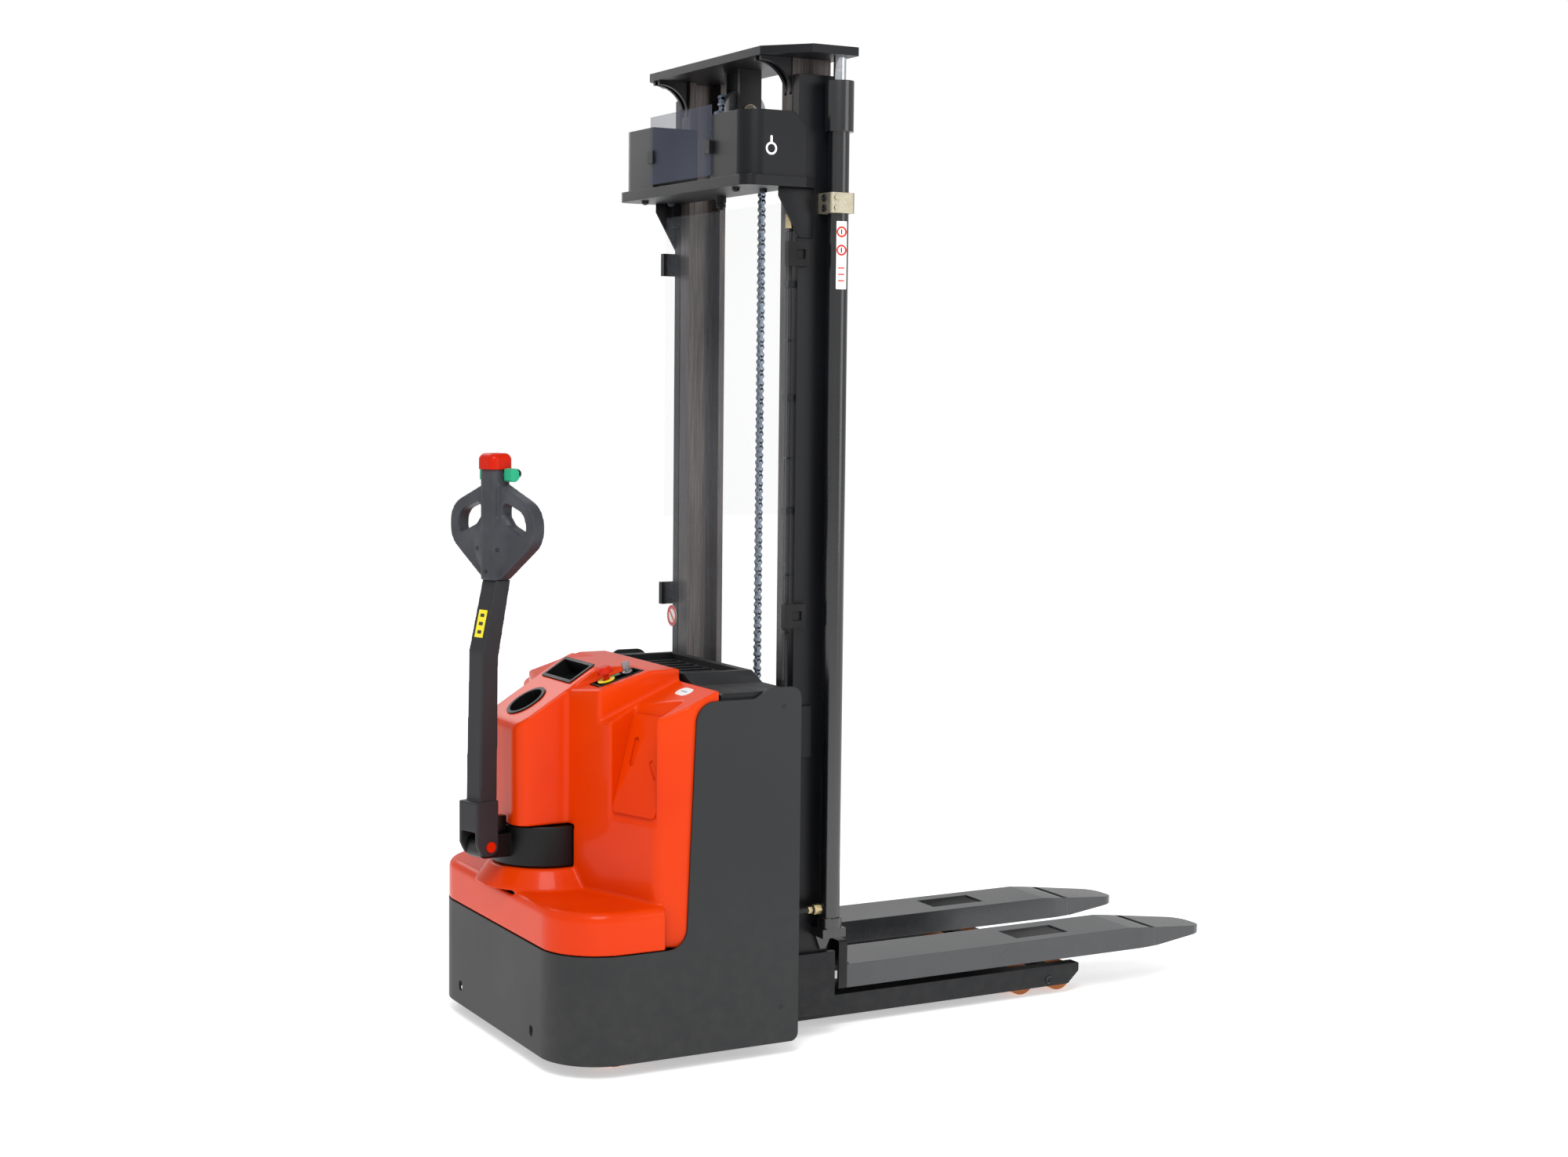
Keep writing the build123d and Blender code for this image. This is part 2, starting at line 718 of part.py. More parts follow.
def make_clips():
    """Black clips that hold the guard to the outer rails, and those of the screen above."""
    face = guard_x + guard_thickness / 2
    clips = []
    for low, high in ((1016, 1074), (1878, 1936)):
        clip = block(face, rail_rear, 323, 331, low + 14, high - 14)
        clip += block(guard_x - 8, face + 3, 328, 346, low, high)
        clip += block(face, 56, 331, 346, low, high)
        clip -= block(20, 44, 340, 350, low + 18, high - 18)
        clips.append(clip)
    screen_x = beam_rear + 8
    clips.append(block(screen_x - 10, screen_x - 4.3, 142, 172, beam_top + 60, beam_top + 92))
    pairs = [pair(clip) for clip in clips]
    return group(*pairs)


def make_cylinder():
    tube = upright(cylinder_x, cylinder_y, barrel_radius, barrel_bottom, barrel_top)
    tube += upright(cylinder_x, cylinder_y, collar_radius, collar_bottom, barrel_top)
    tube += upright(cylinder_x, cylinder_y, 30, barrel_bottom, barrel_bottom + 26)
    tube -= upright(cylinder_x, cylinder_y, barrel_bore, barrel_bottom + 14, barrel_top - 24)
    tube -= upright(cylinder_x, cylinder_y, rod_radius + pin_clearance, barrel_top - 30, barrel_top + 1)
    foot = block(88, 152, outer_rail_outside, 392, barrel_bottom - 22, barrel_bottom)
    foot += side_prism(outline((96, barrel_bottom - 22), (144, barrel_bottom - 22), (126, barrel_bottom - 60), (110, barrel_bottom - 60)), outer_rail_outside, 340)
    return tube + foot


def make_rods():
    rod = upright(cylinder_x, cylinder_y, rod_radius, rod_bottom, top_plate_top - top_plate_thickness)
    rod += upright(cylinder_x, cylinder_y, barrel_bore - 0.05, rod_bottom, rod_bottom + 30)
    return pair(rod)


def make_clamps():
    """Zinc clamps that tie each cylinder to its rail, with two screws."""
    low, high = 2004.0, 2052.0
    clamp = block(86, 152, outer_rail_outside, 394, low, high)
    clamp -= upright(cylinder_x, cylinder_y, barrel_radius, low - 1, high + 1)
    clamp = fillet(clamp.edges().filter_by(Axis.Z).filter_by(lambda e: e.center().Y > 390), 10)
    for z in (low + 12, high - 12):
        clamp += crosswise(98, z, 6, 394, 400)
    return pair(clamp)


hose_radius = 5.0
hose_ys = (-306.0, -317.0)
hose_x = 18.0


def make_hoses():
    """Two hoses clipped up the right rail, and one short pipe to each cylinder."""
    hoses = []
    for y in hose_ys:
        hoses.append(upright(hose_x, y, hose_radius, 205, beam_top - beam_thickness - tab_drop))
    barrel_rear = cylinder_x - barrel_radius
    for side in (-1, 1):
        pipe = lengthwise(side * cylinder_y, 330, 7, -8, 70)
        nut = lengthwise(side * cylinder_y, 330, 11, 70, barrel_rear)
        hoses.append(pipe + nut)
    return group(*hoses)


def make_hose_clips():
    clips = []
    for z in (420, 700, 1290, 1560, 1830):
        strap = block(hose_x - 8, rail_rear, hose_ys[1] - 7, hose_ys[0] + 6, z, z + 14)
        for y in hose_ys:
            strap -= upright(hose_x, y, hose_radius, z - 1, z + 15)
        clips.extend(strap.solids())
    return group(*clips)


# ---- Carriage and forks
def make_carriage():
    low = fork_top - fork_depth
    side_plate = side_prism(
        outline((55, low + 56), (198, low + 56), (198, 232), (130, 300, 30), (130, 640, 20), (55, 640, 20)),
        carriage_side_inner, carriage_side_outer,
    )
    frame = side_plate + flip(side_plate)
    front = front_prism(
        outline((-fork_outside, low), (fork_outside, low), (fork_outside, 222, 10), (-fork_outside, 222, 10)), 196, fork_heel
    )
    front -= block(190, 230, -fork_outside + fork_skin, fork_outside - fork_skin, low - 1, low + 56)
    frame += front - block(190, 230, -110, 110, 192, 240)
    frame += block(58, 100, -carriage_side_inner, carriage_side_inner, crossbar_bottom, crossbar_top)
    frame += block(60, 180, -carriage_side_inner, carriage_side_inner, low + 58, low + 74)
    anchor_x = sheave_x + chain_middle
    frame += block(100, anchor_x + 8, -18, 18, chain_anchor_z - 40, chain_anchor_z)
    for z in roller_zs:
        stub = crosswise(roller_x, z, stub_radius, carriage_side_outer, 284)
        frame += stub
        frame += flip(stub)
    return frame


def make_carriage_rollers(z):
    """The left and right rollers on one axis, running inside the inner rails."""
    roller = crosswise(roller_x, z, roller_radius, 252, 283)
    roller -= crosswise(roller_x, z, stub_radius + pin_clearance, 250, 285)
    return pair(fillet(roller.edges().filter_by(GeomType.CIRCLE).sort_by(SortBy.RADIUS)[-2:], 3))


def make_stage_rollers():
    """The inner mast's rollers, running inside the outer rails."""
    roller = crosswise(roller_x, stage_roller_z, roller_radius, outer_rail_inside + 1, outer_rail_inside + 19)
    roller -= crosswise(roller_x, stage_roller_z, stage_stub_radius + pin_clearance, outer_rail_inside, outer_rail_outside)
    return pair(roller)


def make_fork():
    y0 = fork_outside - fork_width
    y1 = fork_outside
    low = fork_top - fork_depth
    nose_start = fork_tip - nose_length
    profile = outline(
        (fork_heel, low), (fork_heel, fork_top), (fork_tip - 270, fork_top), (fork_tip, fork_top - 28),
        (fork_tip, fork_top - 45), (nose_start, low),
    )
    fork = side_prism(profile, y0, y1)
    taper = fork_width / 2 - 34
    fork &= plan_prism(
        outline(
            (fork_heel, y0), (nose_start - 60, y0, 120), (fork_tip, y0 + taper - 20, 46), (fork_tip, y1 - taper + 20, 46),
            (nose_start - 60, y1, 120), (fork_heel, y1),
        ),
        low - 5, fork_top + 5,
    )
    fork -= block(fork_heel - 1, nose_start - 10, y0 + fork_skin, y1 - fork_skin, low - 1, fork_top - fork_skin)
    fork -= block(757, 923, 159, 246, fork_top - 20, fork_top + 5)
    return fork


# ---- Steering head, drive and tiller
def make_steering_drum():
    drum = upright(steer_x, 0, drum_radius, drum_bottom, drum_top)
    drum = fillet(drum.edges().filter_by(GeomType.CIRCLE), 4)
    lug_reach = tiller_reach + 26
    lug = side_prism(
        outline(
            (steer_x, 456), (steer_x - lug_reach, 470, 20), (steer_x - lug_reach, 521, 20), (steer_x, 524)
        ),
        -24, 24,
    )
    drum += lug
    drum -= crosswise(steer_x - tiller_reach, tiller_pivot_z, pin_radius + pin_clearance, -50, 50)
    drum += upright(steer_x, 0, column_radius, 250, drum_bottom + 5)
    return steered(drum)


def make_drive_unit():
    top = upright(steer_x, 0, 95, 234, 250)
    leg = block(steer_x - 50, steer_x + 50, 42, 64, 70, 236)
    leg += crosswise(steer_x, drive_wheel_radius, 48, 42, 64)
    axle = crosswise(steer_x, drive_wheel_radius, 16, -30, 64)
    return steered(top + leg + axle)


def make_drive_wheel():
    half = drive_wheel_width / 2
    wheel = crosswise(steer_x, drive_wheel_radius, drive_wheel_radius, -half, half)
    wheel = fillet(wheel.edges(), 6)
    wheel -= crosswise(steer_x, drive_wheel_radius, 16 + pin_clearance, -half - 1, half + 1)
    return steered(wheel)


def make_arm():
    """The tiller arm: two cheeks on the pivot pin, a square tube, and a bend to the head."""
    pivot_x = steer_x - tiller_reach
    bend_x = steer_x - arm_bend_reach
    neck_x = steer_x - neck_reach
    half = arm_depth / 2
    root_top = 607.0
    rear = pivot_x - arm_root_depth
    tube = side_prism(
        outline(
            (pivot_x - half, root_top - 14), (pivot_x + half, root_top - 14), (bend_x + half - 2, arm_bend_z - 8, 60),
            (neck_x + 22, neck_z), (neck_x - 22, neck_z), (bend_x - half + 2, arm_bend_z + 8, 60),
        ),
        -arm_width / 2, arm_width / 2,
    )
    for sign in (-1, 1):
        near, far = sorted((sign * (cheek_outer - cheek_thickness), sign * cheek_outer))
        cheek = outline(
            (rear, root_top), (pivot_x + 25, root_top), (pivot_x + 25, tiller_pivot_z - 22, 21),
            (pivot_x - 24, tiller_pivot_z - 22, 21), (rear, tiller_pivot_z + 10, 8),
        )
        cheek = side_prism(cheek, near, far)
        cheek -= crosswise(pivot_x, tiller_pivot_z, pin_radius, -60, 60)
        tube += cheek
    tube += block(rear, pivot_x + 25, -cheek_outer, cheek_outer, root_top - 14, root_top)
    tube += block(rear, rear + 8, -cheek_outer, cheek_outer, tiller_pivot_z + 38, root_top)
    return steered(tube)


def make_pivot_pin():
    x = steer_x - tiller_reach
    pin = crosswise(x, tiller_pivot_z, pin_radius, -36, 36)
    pin += crosswise(x, tiller_pivot_z, 13, -39, -34)
    pin += crosswise(x, tiller_pivot_z, 13, 34, 39)
    return steered(pin)


def make_head():
    """The handle: a central spine and domed housing inside a closed loop of grips."""
    x = steer_x - neck_reach
    base = neck_z
    half = head_width / 2
    top = base + head_height
    outer = outline(
        (30, base, 20), (half, base + 92, 64), (half, top - 50, 64), (24, top + 6, 24),
        (-24, top + 6, 24), (-half, top - 50, 64), (-half, base + 92, 64), (-30, base, 20),
    )
    loop = front_prism(outer, x - grip_radius, x + grip_radius)
    grip = 2 * grip_radius - 4
    for sign in (-1, 1):
        inner = outline(
            (sign * 38, base + 138, 16), (sign * (half - grip), base + 104, 14),
            (sign * (half - grip), top - 64, 40), (sign * 38, top - 34, 16),
        )
        loop -= front_prism(inner, x - 30, x + 30)
    loop += Pos(x, 0, base + 88) * scale(Sphere(74), by=(0.46, 1, 1.12))
    spine = block(x - 33, x + 24, -27, 27, base, spine_top)
    spine = fillet(spine.edges().filter_by(Axis.Z), 14)
    loop += spine
    return steered(loop)


def make_head_cap():
    """The red safety button that tops the head; it slides down over the spine."""
    x = steer_x - neck_reach
    low = spine_top - 2
    room = cap_travel + 1

    def sleeve(grow, z0, z1, corner):
        body = block(x - 33 - grow, x + 24 + grow, -27 - grow, 27 + grow, z0, z1)
        return fillet(body.edges().filter_by(Axis.Z), corner)

    cap = sleeve(4.5, low, low + 38, 18)
    cap = fillet(cap.faces().sort_by(Axis.Z)[-1].edges(), 16)
    return steered(cap - sleeve(0.6, low - 5, spine_top + room, 14.6))


def make_throttle():
    """The green twist wings at the front of the head, on one cross axis."""
    x = steer_x - neck_reach
    z = throttle_z
    wing = crosswise(x + 6, z, 16, 32.5, 58) - block(x - 40, x - 4, 20, 62, z - 30, z + 30)
    wing += Pos(x + 22, 47, z + 3) * Sphere(11)
    hub = crosswise(x + 6, z, 6, -58, 58)
    return steered(wing + flip(wing) + hub)


rocker_z = neck_z + 186
rocker_pin_x = steer_x - neck_reach + 17
rocker_pin_radius = 3.0


def rocker_block(grow):
    """The rocker's own block, or the pocket round it when grown."""
    rear = rocker_pin_x - 2 - 2 * grow
    front = rocker_pin_x + 12 + grow
    half_height = 9 + grow / 2
    return block(rear, front, -18 - grow, 18 + grow, rocker_z - half_height, rocker_z + half_height)


def make_lift_rocker():
    """The raise and lower switch: one rocker on an upright pin, in a pocket of the spine."""
    pin = upright(rocker_pin_x, 0, rocker_pin_radius, rocker_z - 15, rocker_z + 15)
    return steered(rocker_block(0) + pin)


def export_nodes(nodes):
    os.makedirs("parts", exist_ok=True)
    for name, shape in nodes.items():
        export_step(Pos(-centre_x, 0, 0) * shape, f"parts/{name}.step")


head_shape = make_head()
throttle_x = steer_x - neck_reach + 6
head_shape -= steered(crosswise(throttle_x, throttle_z, 6 + pin_clearance, -60, 60))
for side in (-1, 1):
    near, far = sorted((side * 27.4, side * 62))
    head_shape -= steered(crosswise(throttle_x, throttle_z, 17, near, far))
    head_shape -= steered(block(throttle_x + 2, throttle_x + 30, near, far, throttle_z - 22, throttle_z + 20))
head_shape -= steered(rocker_block(2))
head_shape -= steered(upright(rocker_pin_x, 0, rocker_pin_radius + pin_clearance, rocker_z - 15.5, rocker_z + 15.5))

leg_right = flip(make_leg())
load_wheels = [make_load_wheel(x) for x in load_wheel_xs]

nodes = {
    "chassis_frame": make_chassis(),
    "outer_skirt": make_skirt(),
    "rear_cover": make_rear_cover(),
    "cover_hatch": make_hatch(),
    "cup_liner": make_cup_liner(),
    "tray_liner": make_tray_liner(),
    "dash_panel": make_dash_panel(),
    "estop_button": make_estop(),
    "ignition_key": make_key(),
    "battery_cover": make_battery_cover(),
    "battery_pack": make_battery(),
    "pump_unit": make_pump_unit(),
    "motor_controller": make_controller(),
    "leg_left": make_leg(),
    "leg_right": leg_right,
    "bogie_left": make_bogie(),
    "bogie_right": flip(make_bogie()),
    "load_wheel_left_rear": load_wheels[0],
    "load_wheel_left_front": load_wheels[1],
    "load_wheel_right_rear": flip(load_wheels[0]),
    "load_wheel_right_front": flip(load_wheels[1]),
    "caster_fork_left": make_caster_fork(),
    "caster_fork_right": flip(make_caster_fork()),
    "caster_wheel_left": make_caster_wheel(),
    "caster_wheel_right": flip(make_caster_wheel()),
    "outer_rail_left": make_outer_rail(),
    "outer_rail_right": flip(make_outer_rail()),
    "mast_crossbeam": make_crossbeam(),
    "beam_cover": make_beam_cover(),
    "beam_screen": make_beam_screen(),
    "mast_guard": make_mast_guard(),
    "mast_clips": make_clips(),
    "cylinder_left": make_cylinder(),
    "cylinder_right": flip(make_cylinder()),
    "cylinder_clamps": make_clamps(),
    "hydraulic_hoses": make_hoses(),
    "hose_clips": make_hose_clips(),
    "inner_rail_left": make_inner_rail(),
    "inner_rail_right": flip(make_inner_rail()),
    "mast_tie": make_mast_ties(),
    "top_plate": make_top_plate(),
    "piston_rods": make_rods(),
    "stage_rollers": make_stage_rollers(),
    "chain_sheave": make_sheave(),
    "lift_chain_rear": make_rear_chain(),
    "lift_chain_front": make_front_chain(),
    "carriage_frame": make_carriage(),
    "carriage_rollers_lower": make_carriage_rollers(roller_zs[0]),
    "carriage_rollers_upper": make_carriage_rollers(roller_zs[1]),
    "fork_left": make_fork(),
    "fork_right": flip(make_fork()),
    "steering_drum": make_steering_drum(),
    "drive_unit": make_drive_unit(),
    "drive_wheel": make_drive_wheel(),
    "tiller_arm": make_arm(),
    "tiller_pin": make_pivot_pin(),
    "tiller_head": head_shape,
    "head_cap": make_head_cap(),
    "throttle": make_throttle(),
    "lift_rocker": make_lift_rocker(),
}

if __name__ == "__main__":
    export_nodes(nodes)
    print(len(nodes), "nodes, centre x", round(centre_x, 3), "tiller rear", round(tiller_rear, 1))
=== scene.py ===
# %% [markdown]
# # A walkie stacker, finished for a close look
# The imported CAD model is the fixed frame: it has every part at its true size and place. This lesson adds
# what a drawing of parts leaves out. It mixes the paints, plastics and metals, softens the moulded
# pieces, and models the links, bolts, ties and labels that a maker fits last. Everything is in metres,
# with the floor at z 0, the forks towards +X and the operator's side towards -X.

# %% Load the frame
import bpy
import json
from math import pi, radians
from mathutils import Matrix, Vector
from mathutils.bvhtree import BVHTree

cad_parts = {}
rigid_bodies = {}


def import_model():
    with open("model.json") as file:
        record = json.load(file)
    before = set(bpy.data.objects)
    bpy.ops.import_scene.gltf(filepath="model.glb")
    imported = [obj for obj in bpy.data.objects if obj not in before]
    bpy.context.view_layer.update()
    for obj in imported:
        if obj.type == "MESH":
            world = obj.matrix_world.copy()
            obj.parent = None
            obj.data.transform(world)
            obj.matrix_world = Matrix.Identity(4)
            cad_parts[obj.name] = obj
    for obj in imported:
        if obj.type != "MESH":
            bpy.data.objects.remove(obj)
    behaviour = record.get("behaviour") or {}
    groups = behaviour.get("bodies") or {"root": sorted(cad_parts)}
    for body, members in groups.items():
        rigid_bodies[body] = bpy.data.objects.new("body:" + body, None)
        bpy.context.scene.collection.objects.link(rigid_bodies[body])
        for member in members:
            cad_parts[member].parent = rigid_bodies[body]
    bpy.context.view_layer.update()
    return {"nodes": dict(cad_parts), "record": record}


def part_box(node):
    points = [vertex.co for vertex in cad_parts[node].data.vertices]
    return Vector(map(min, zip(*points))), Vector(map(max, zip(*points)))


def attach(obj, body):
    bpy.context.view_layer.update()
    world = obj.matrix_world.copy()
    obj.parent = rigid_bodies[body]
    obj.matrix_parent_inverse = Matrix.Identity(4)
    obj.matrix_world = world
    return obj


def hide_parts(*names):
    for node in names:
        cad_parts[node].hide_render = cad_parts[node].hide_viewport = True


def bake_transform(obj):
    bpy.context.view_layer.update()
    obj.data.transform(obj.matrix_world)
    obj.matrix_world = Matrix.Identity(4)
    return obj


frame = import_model()
nodes = frame["nodes"]

# %% [markdown]
# A material is easier to read as a formula than as a web of nodes. Two small classes make that possible.
# A Field wraps a socket, and plain arithmetic on it adds Math nodes. A Paint holds one material and has
# short names for the few nodes that every finish here needs. Patterns are read in Object coordinates, so
# they stay on the piece.

# %% Fields and paints
def feed(tree, socket, value):
    if isinstance(value, Field):
        tree.links.new(value.socket, socket)
    else:
        socket.default_value = value


class Field:
    """A number or colour inside a material; arithmetic on numbers adds Math nodes."""

    def __init__(self, tree, socket):
        self.tree = tree
        self.socket = socket

    def math(self, operation, first, second):
        node = self.tree.nodes.new("ShaderNodeMath")
        node.operation = operation
        feed(self.tree, node.inputs[0], first)
        feed(self.tree, node.inputs[1], second)
        return Field(self.tree, node.outputs[0])

    def __add__(self, other): return self.math("ADD", self, other)
    def __radd__(self, other): return self.math("ADD", other, self)
    def __sub__(self, other): return self.math("SUBTRACT", self, other)
    def __rsub__(self, other): return self.math("SUBTRACT", other, self)
    def __mul__(self, other): return self.math("MULTIPLY", self, other)
    def __rmul__(self, other): return self.math("MULTIPLY", other, self)


class Paint:
    """One material while it is mixed."""

    def __init__(self, name, **fixed):
        self.material = bpy.data.materials.new(name)
        self.material.use_nodes = True
        self.tree = self.material.node_tree
        self.shader = self.tree.nodes["Principled BSDF"]
        self.place = self.node("TexCoord", out="Object")
        for socket, value in fixed.items():
            self.shader.inputs[socket.replace("_", " ")].default_value = value

    def node(self, kind, settings=None, links=None, out=0):
        """Any node: its settings first, then the values or links of its sockets."""
        node = self.tree.nodes.new("ShaderNode" + kind)
        for key, value in (settings or {}).items():
            setattr(node, key, value)
        for socket, value in (links or {}).items():
            feed(self.tree, node.inputs[socket], value)
        return Field(self.tree, node.outputs[out])

    def noise(self, scale, stretch=(1, 1, 1), detail=3, rough=0.5):
        spot = self.node("Mapping", links={"Vector": self.place, "Scale": stretch})
        links = {"Vector": spot, "Scale": scale, "Detail": detail, "Roughness": rough}
        return self.node("TexNoise", links=links)

    def ramp(self, value, low, high):
        """0 below low, 1 above high, and straight between them."""
        return self.node("MapRange", links={"Value": value, "From Min": low, "From Max": high})

    def mix(self, mask, first, second):
        return self.node("Mix", {"data_type": "RGBA"}, {0: mask, 6: first, 7: second}, out=2)

    def coordinate(self, axis):
        return self.node("SeparateXYZ", links={0: self.place}, out=axis)

    def soft_edges(self, radius):
        """A normal that rounds sharp edges a little, so that they catch the light."""
        return self.node("Bevel", {"samples": 4}, {"Radius": radius})

    def bump(self, height, depth, normal=None):
        links = {"Height": height, "Distance": depth, "Strength": 1.0}
        if normal:
            links["Normal"] = normal
        return self.node("Bump", None, links)

    def finish(self, colour, roughness, normal=None, metal=None):
        feed(self.tree, self.shader.inputs["Base Color"], colour)
        feed(self.tree, self.shader.inputs["Roughness"], roughness)
        if normal:
            feed(self.tree, self.shader.inputs["Normal"], normal)
        if metal is not None:
            feed(self.tree, self.shader.inputs["Metallic"], metal)
        return self.material


def tint(red, green, blue):
    """A colour given as the 0 to 255 values of a screen, made linear for the shader."""
    return tuple((part / 255) ** 2.2 for part in (red, green, blue)) + (1.0,)


print("paint box ready")

# %% [markdown]
# ## Moulded covers
# The red cover is moulded plastic with a fairly glossy skin. Such a skin is never quite flat: it has a
# faint orange peel, and large faces differ a little in shade. A clear coat gives the sharp reflections
# over a softer base.

# %% Glossy cover plastic
def glossy_cover(name, deep, bright):
    paint = Paint(name, Coat_Weight=0.12, Coat_Roughness=0.05, Specular_IOR_Level=0.1)
    cloud = paint.noise(3.0, detail=2)
    peel = paint.noise(420.0, detail=1)
    dust = paint.ramp(paint.noise(900.0, detail=1), 0.62, 0.8)
    colour = paint.mix(paint.ramp(cloud, 0.3, 0.7), deep, bright)
    roughness = 0.26 + 0.08 * cloud + 0.06 * dust
    return paint.finish(colour, roughness, paint.bump(peel, 0.00012, paint.soft_edges(0.003)))


cover_red = glossy_cover("cover_red", tint(208, 53, 0), tint(220, 63, 0))
button_red = glossy_cover("button_red", tint(184, 30, 4), tint(204, 40, 8))
throttle_green = glossy_cover("throttle_green", tint(42, 160, 118), tint(66, 186, 140))
print("glossy plastics:", cover_red.name, button_red.name, throttle_green.name)

# %% [markdown]
# ## Grained plastics
# The handle, the liners and the battery lid are moulded in a tool with an etched grain. A fine, cell-like
# bump gives the leathery look, and the high places of the grain are a little shinier where hands rub
# them.

# %% Grained plastic
def grained_plastic(name, dark, light, grain=700.0, roughness=0.5):
    paint = Paint(name, Specular_IOR_Level=0.28)
    cells = paint.node("TexVoronoi", None, {"Vector": paint.place, "Scale": grain})
    rubbed = paint.ramp(paint.noise(9.0, detail=4), 0.4, 0.75)
    colour = paint.mix(rubbed, dark, light)
    grain_bump = paint.bump(cells, 0.00018, paint.soft_edges(0.0015))
    return paint.finish(colour, roughness - 0.12 * rubbed, grain_bump)


black_plastic = grained_plastic("black_plastic", tint(16, 16, 18), tint(28, 28, 30))
head_grey = grained_plastic("head_grey", tint(56, 57, 62), tint(74, 75, 81), grain=900.0, roughness=0.46)
lid_grey = grained_plastic("lid_grey", tint(24, 25, 27), tint(34, 35, 38), grain=800.0, roughness=0.5)
battery_case = grained_plastic("battery_case", tint(70, 74, 80), tint(92, 96, 102), grain=500.0)
knob_black = grained_plastic("knob_black", tint(10, 10, 11), tint(20, 20, 22), grain=1200.0, roughness=0.32)
print("grained plastics mixed")

# %% [markdown]
# ## Painted steel
# Frames, rails and forks are powder coated. The powder melts into a fine texture, and use leaves its
# marks: dust low down, and thin scratches that run the way a load slides. The scratches are noise
# stretched along one axis and cut off high, so only a few thin lines are left.

# %% Powder-coated steel
def painted_steel(name, dark, light, roughness, grain, scratch_stretch, wear, sheen=0.3):
    paint = Paint(name, Specular_IOR_Level=sheen)
    cloud = paint.ramp(paint.noise(2.2, detail=3), 0.3, 0.7)
    powder = paint.noise(grain, detail=2)
    scratch = paint.ramp(paint.noise(14.0, scratch_stretch, detail=6, rough=0.7), 0.68, 0.8) * wear
    near_floor = 1 - paint.ramp(paint.coordinate("Z"), 0.0, 0.5)
    dust = near_floor * paint.ramp(paint.noise(30.0, detail=4), 0.4, 0.8) * 0.12
    colour = paint.mix(cloud, dark, light)
    colour = paint.mix(scratch, colour, tint(104, 104, 108))
    colour = paint.mix(dust, colour, tint(96, 92, 88))
    gloss = roughness + 0.1 * cloud + 0.2 * dust - 0.1 * scratch
    return paint.finish(colour, gloss, paint.bump(powder - scratch, 0.00012, paint.soft_edges(0.002)))


upright_scratch = (40, 40, 4)
rolled_scratch = (40, 40, 3)
skirt_grey = painted_steel("skirt_grey", tint(41, 42, 43), tint(46, 47, 48), 0.44, 650.0,
                           upright_scratch, 0.12)
mast_black = painted_steel("mast_black", tint(14, 15, 18), tint(20, 21, 25), 0.34, 700.0, rolled_scratch, 0.2)
arm_grey = painted_steel("arm_grey", tint(38, 38, 41), tint(46, 46, 49), 0.4, 800.0, upright_scratch, 0.12)
fork_grey = painted_steel("fork_grey", tint(42, 43, 46), tint(52, 54, 57), 0.2, 500.0,
                          (2.5, 60, 60), 0.4, 0.8)
leg_black = painted_steel("leg_black", tint(24, 25, 27), tint(33, 34, 36), 0.42, 500.0, (3, 50, 50), 0.35)
cylinder_black = painted_steel("cylinder_black", tint(16, 17, 19), tint(23, 24, 27), 0.14, 300.0,
                               rolled_scratch, 0.1, 0.9)
print("painted steels mixed")

# %% [markdown]
# ## Bare and plated metals
# The inner rails are rolled steel that rollers have polished in upright streaks, with a film of grease.
# Chain, rods, pins and screws each have their own plating. All of them are metallic, and differ in
# colour, in roughness and in the way the tool marks run.

# %% Metals
def bare_metal(name, dark, light, roughness, stretch, scale=9.0, depth=0.00006, metal=1.0):
    paint = Paint(name)
    streak = paint.noise(scale, stretch, detail=6, rough=0.65)
    stain = paint.ramp(paint.noise(5.0, detail=5), 0.4, 0.7)
    colour = paint.mix(paint.ramp(streak, 0.3, 0.7), dark, light)
    gloss = roughness + 0.18 * stain + 0.1 * streak
    return paint.finish(colour, gloss, paint.bump(streak, depth, paint.soft_edges(0.001)), metal)


rail_steel = bare_metal("rail_steel", tint(20, 18, 18), tint(104, 97, 94), 0.3, (90, 90, 0.8), metal=0.75)
rod_chrome = bare_metal("rod_chrome", tint(196, 199, 205), tint(222, 225, 230), 0.05, (30, 30, 30),
                        4.0, 0.00001)
machined = bare_metal("machined_steel", tint(132, 134, 138), tint(170, 172, 176), 0.3, (8, 80, 8))
chain_steel = bare_metal("chain_steel", tint(80, 92, 106), tint(140, 152, 166), 0.3, (20, 20, 20), 30.0)
zinc_plate = bare_metal("zinc_plate", tint(168, 160, 140), tint(204, 196, 176), 0.34, (12, 12, 12), 20.0)
brass = bare_metal("brass", tint(176, 156, 112), tint(212, 194, 152), 0.24, (12, 12, 12), 24.0)
cast_metal = bare_metal("cast_metal", tint(120, 122, 126), tint(160, 162, 166), 0.5, (1, 1, 1),
                        260.0, 0.0004)
screw_steel = bare_metal("screw_steel", tint(40, 41, 44), tint(70, 72, 76), 0.36, (9, 9, 9), 30.0)
print("metals mixed")

# %% [markdown]
# ## Treads, hoses and clear sheet
# Load wheels and casters have a cast polyurethane tread, brown-orange and slightly cloudy, with grit
# pressed into it. The drive wheel is black rubber. The hoses have a woven cover, drawn with two crossing
# waves. The guard is a clear sheet that shows only its reflections, its edges and a little dust.

# %% Rubber and clear sheet
def tread(name, dark, light, grit_colour, roughness=0.5):
    paint = Paint(name, Subsurface_Weight=0.0)
    cloud = paint.noise(14.0, detail=4)
    grit = paint.ramp(paint.noise(260.0, detail=2), 0.62, 0.74)
    colour = paint.mix(grit * 0.7, paint.mix(cloud, dark, light), grit_colour)
    return paint.finish(colour, roughness + 0.2 * grit, paint.bump(grit * -1, 0.0003))


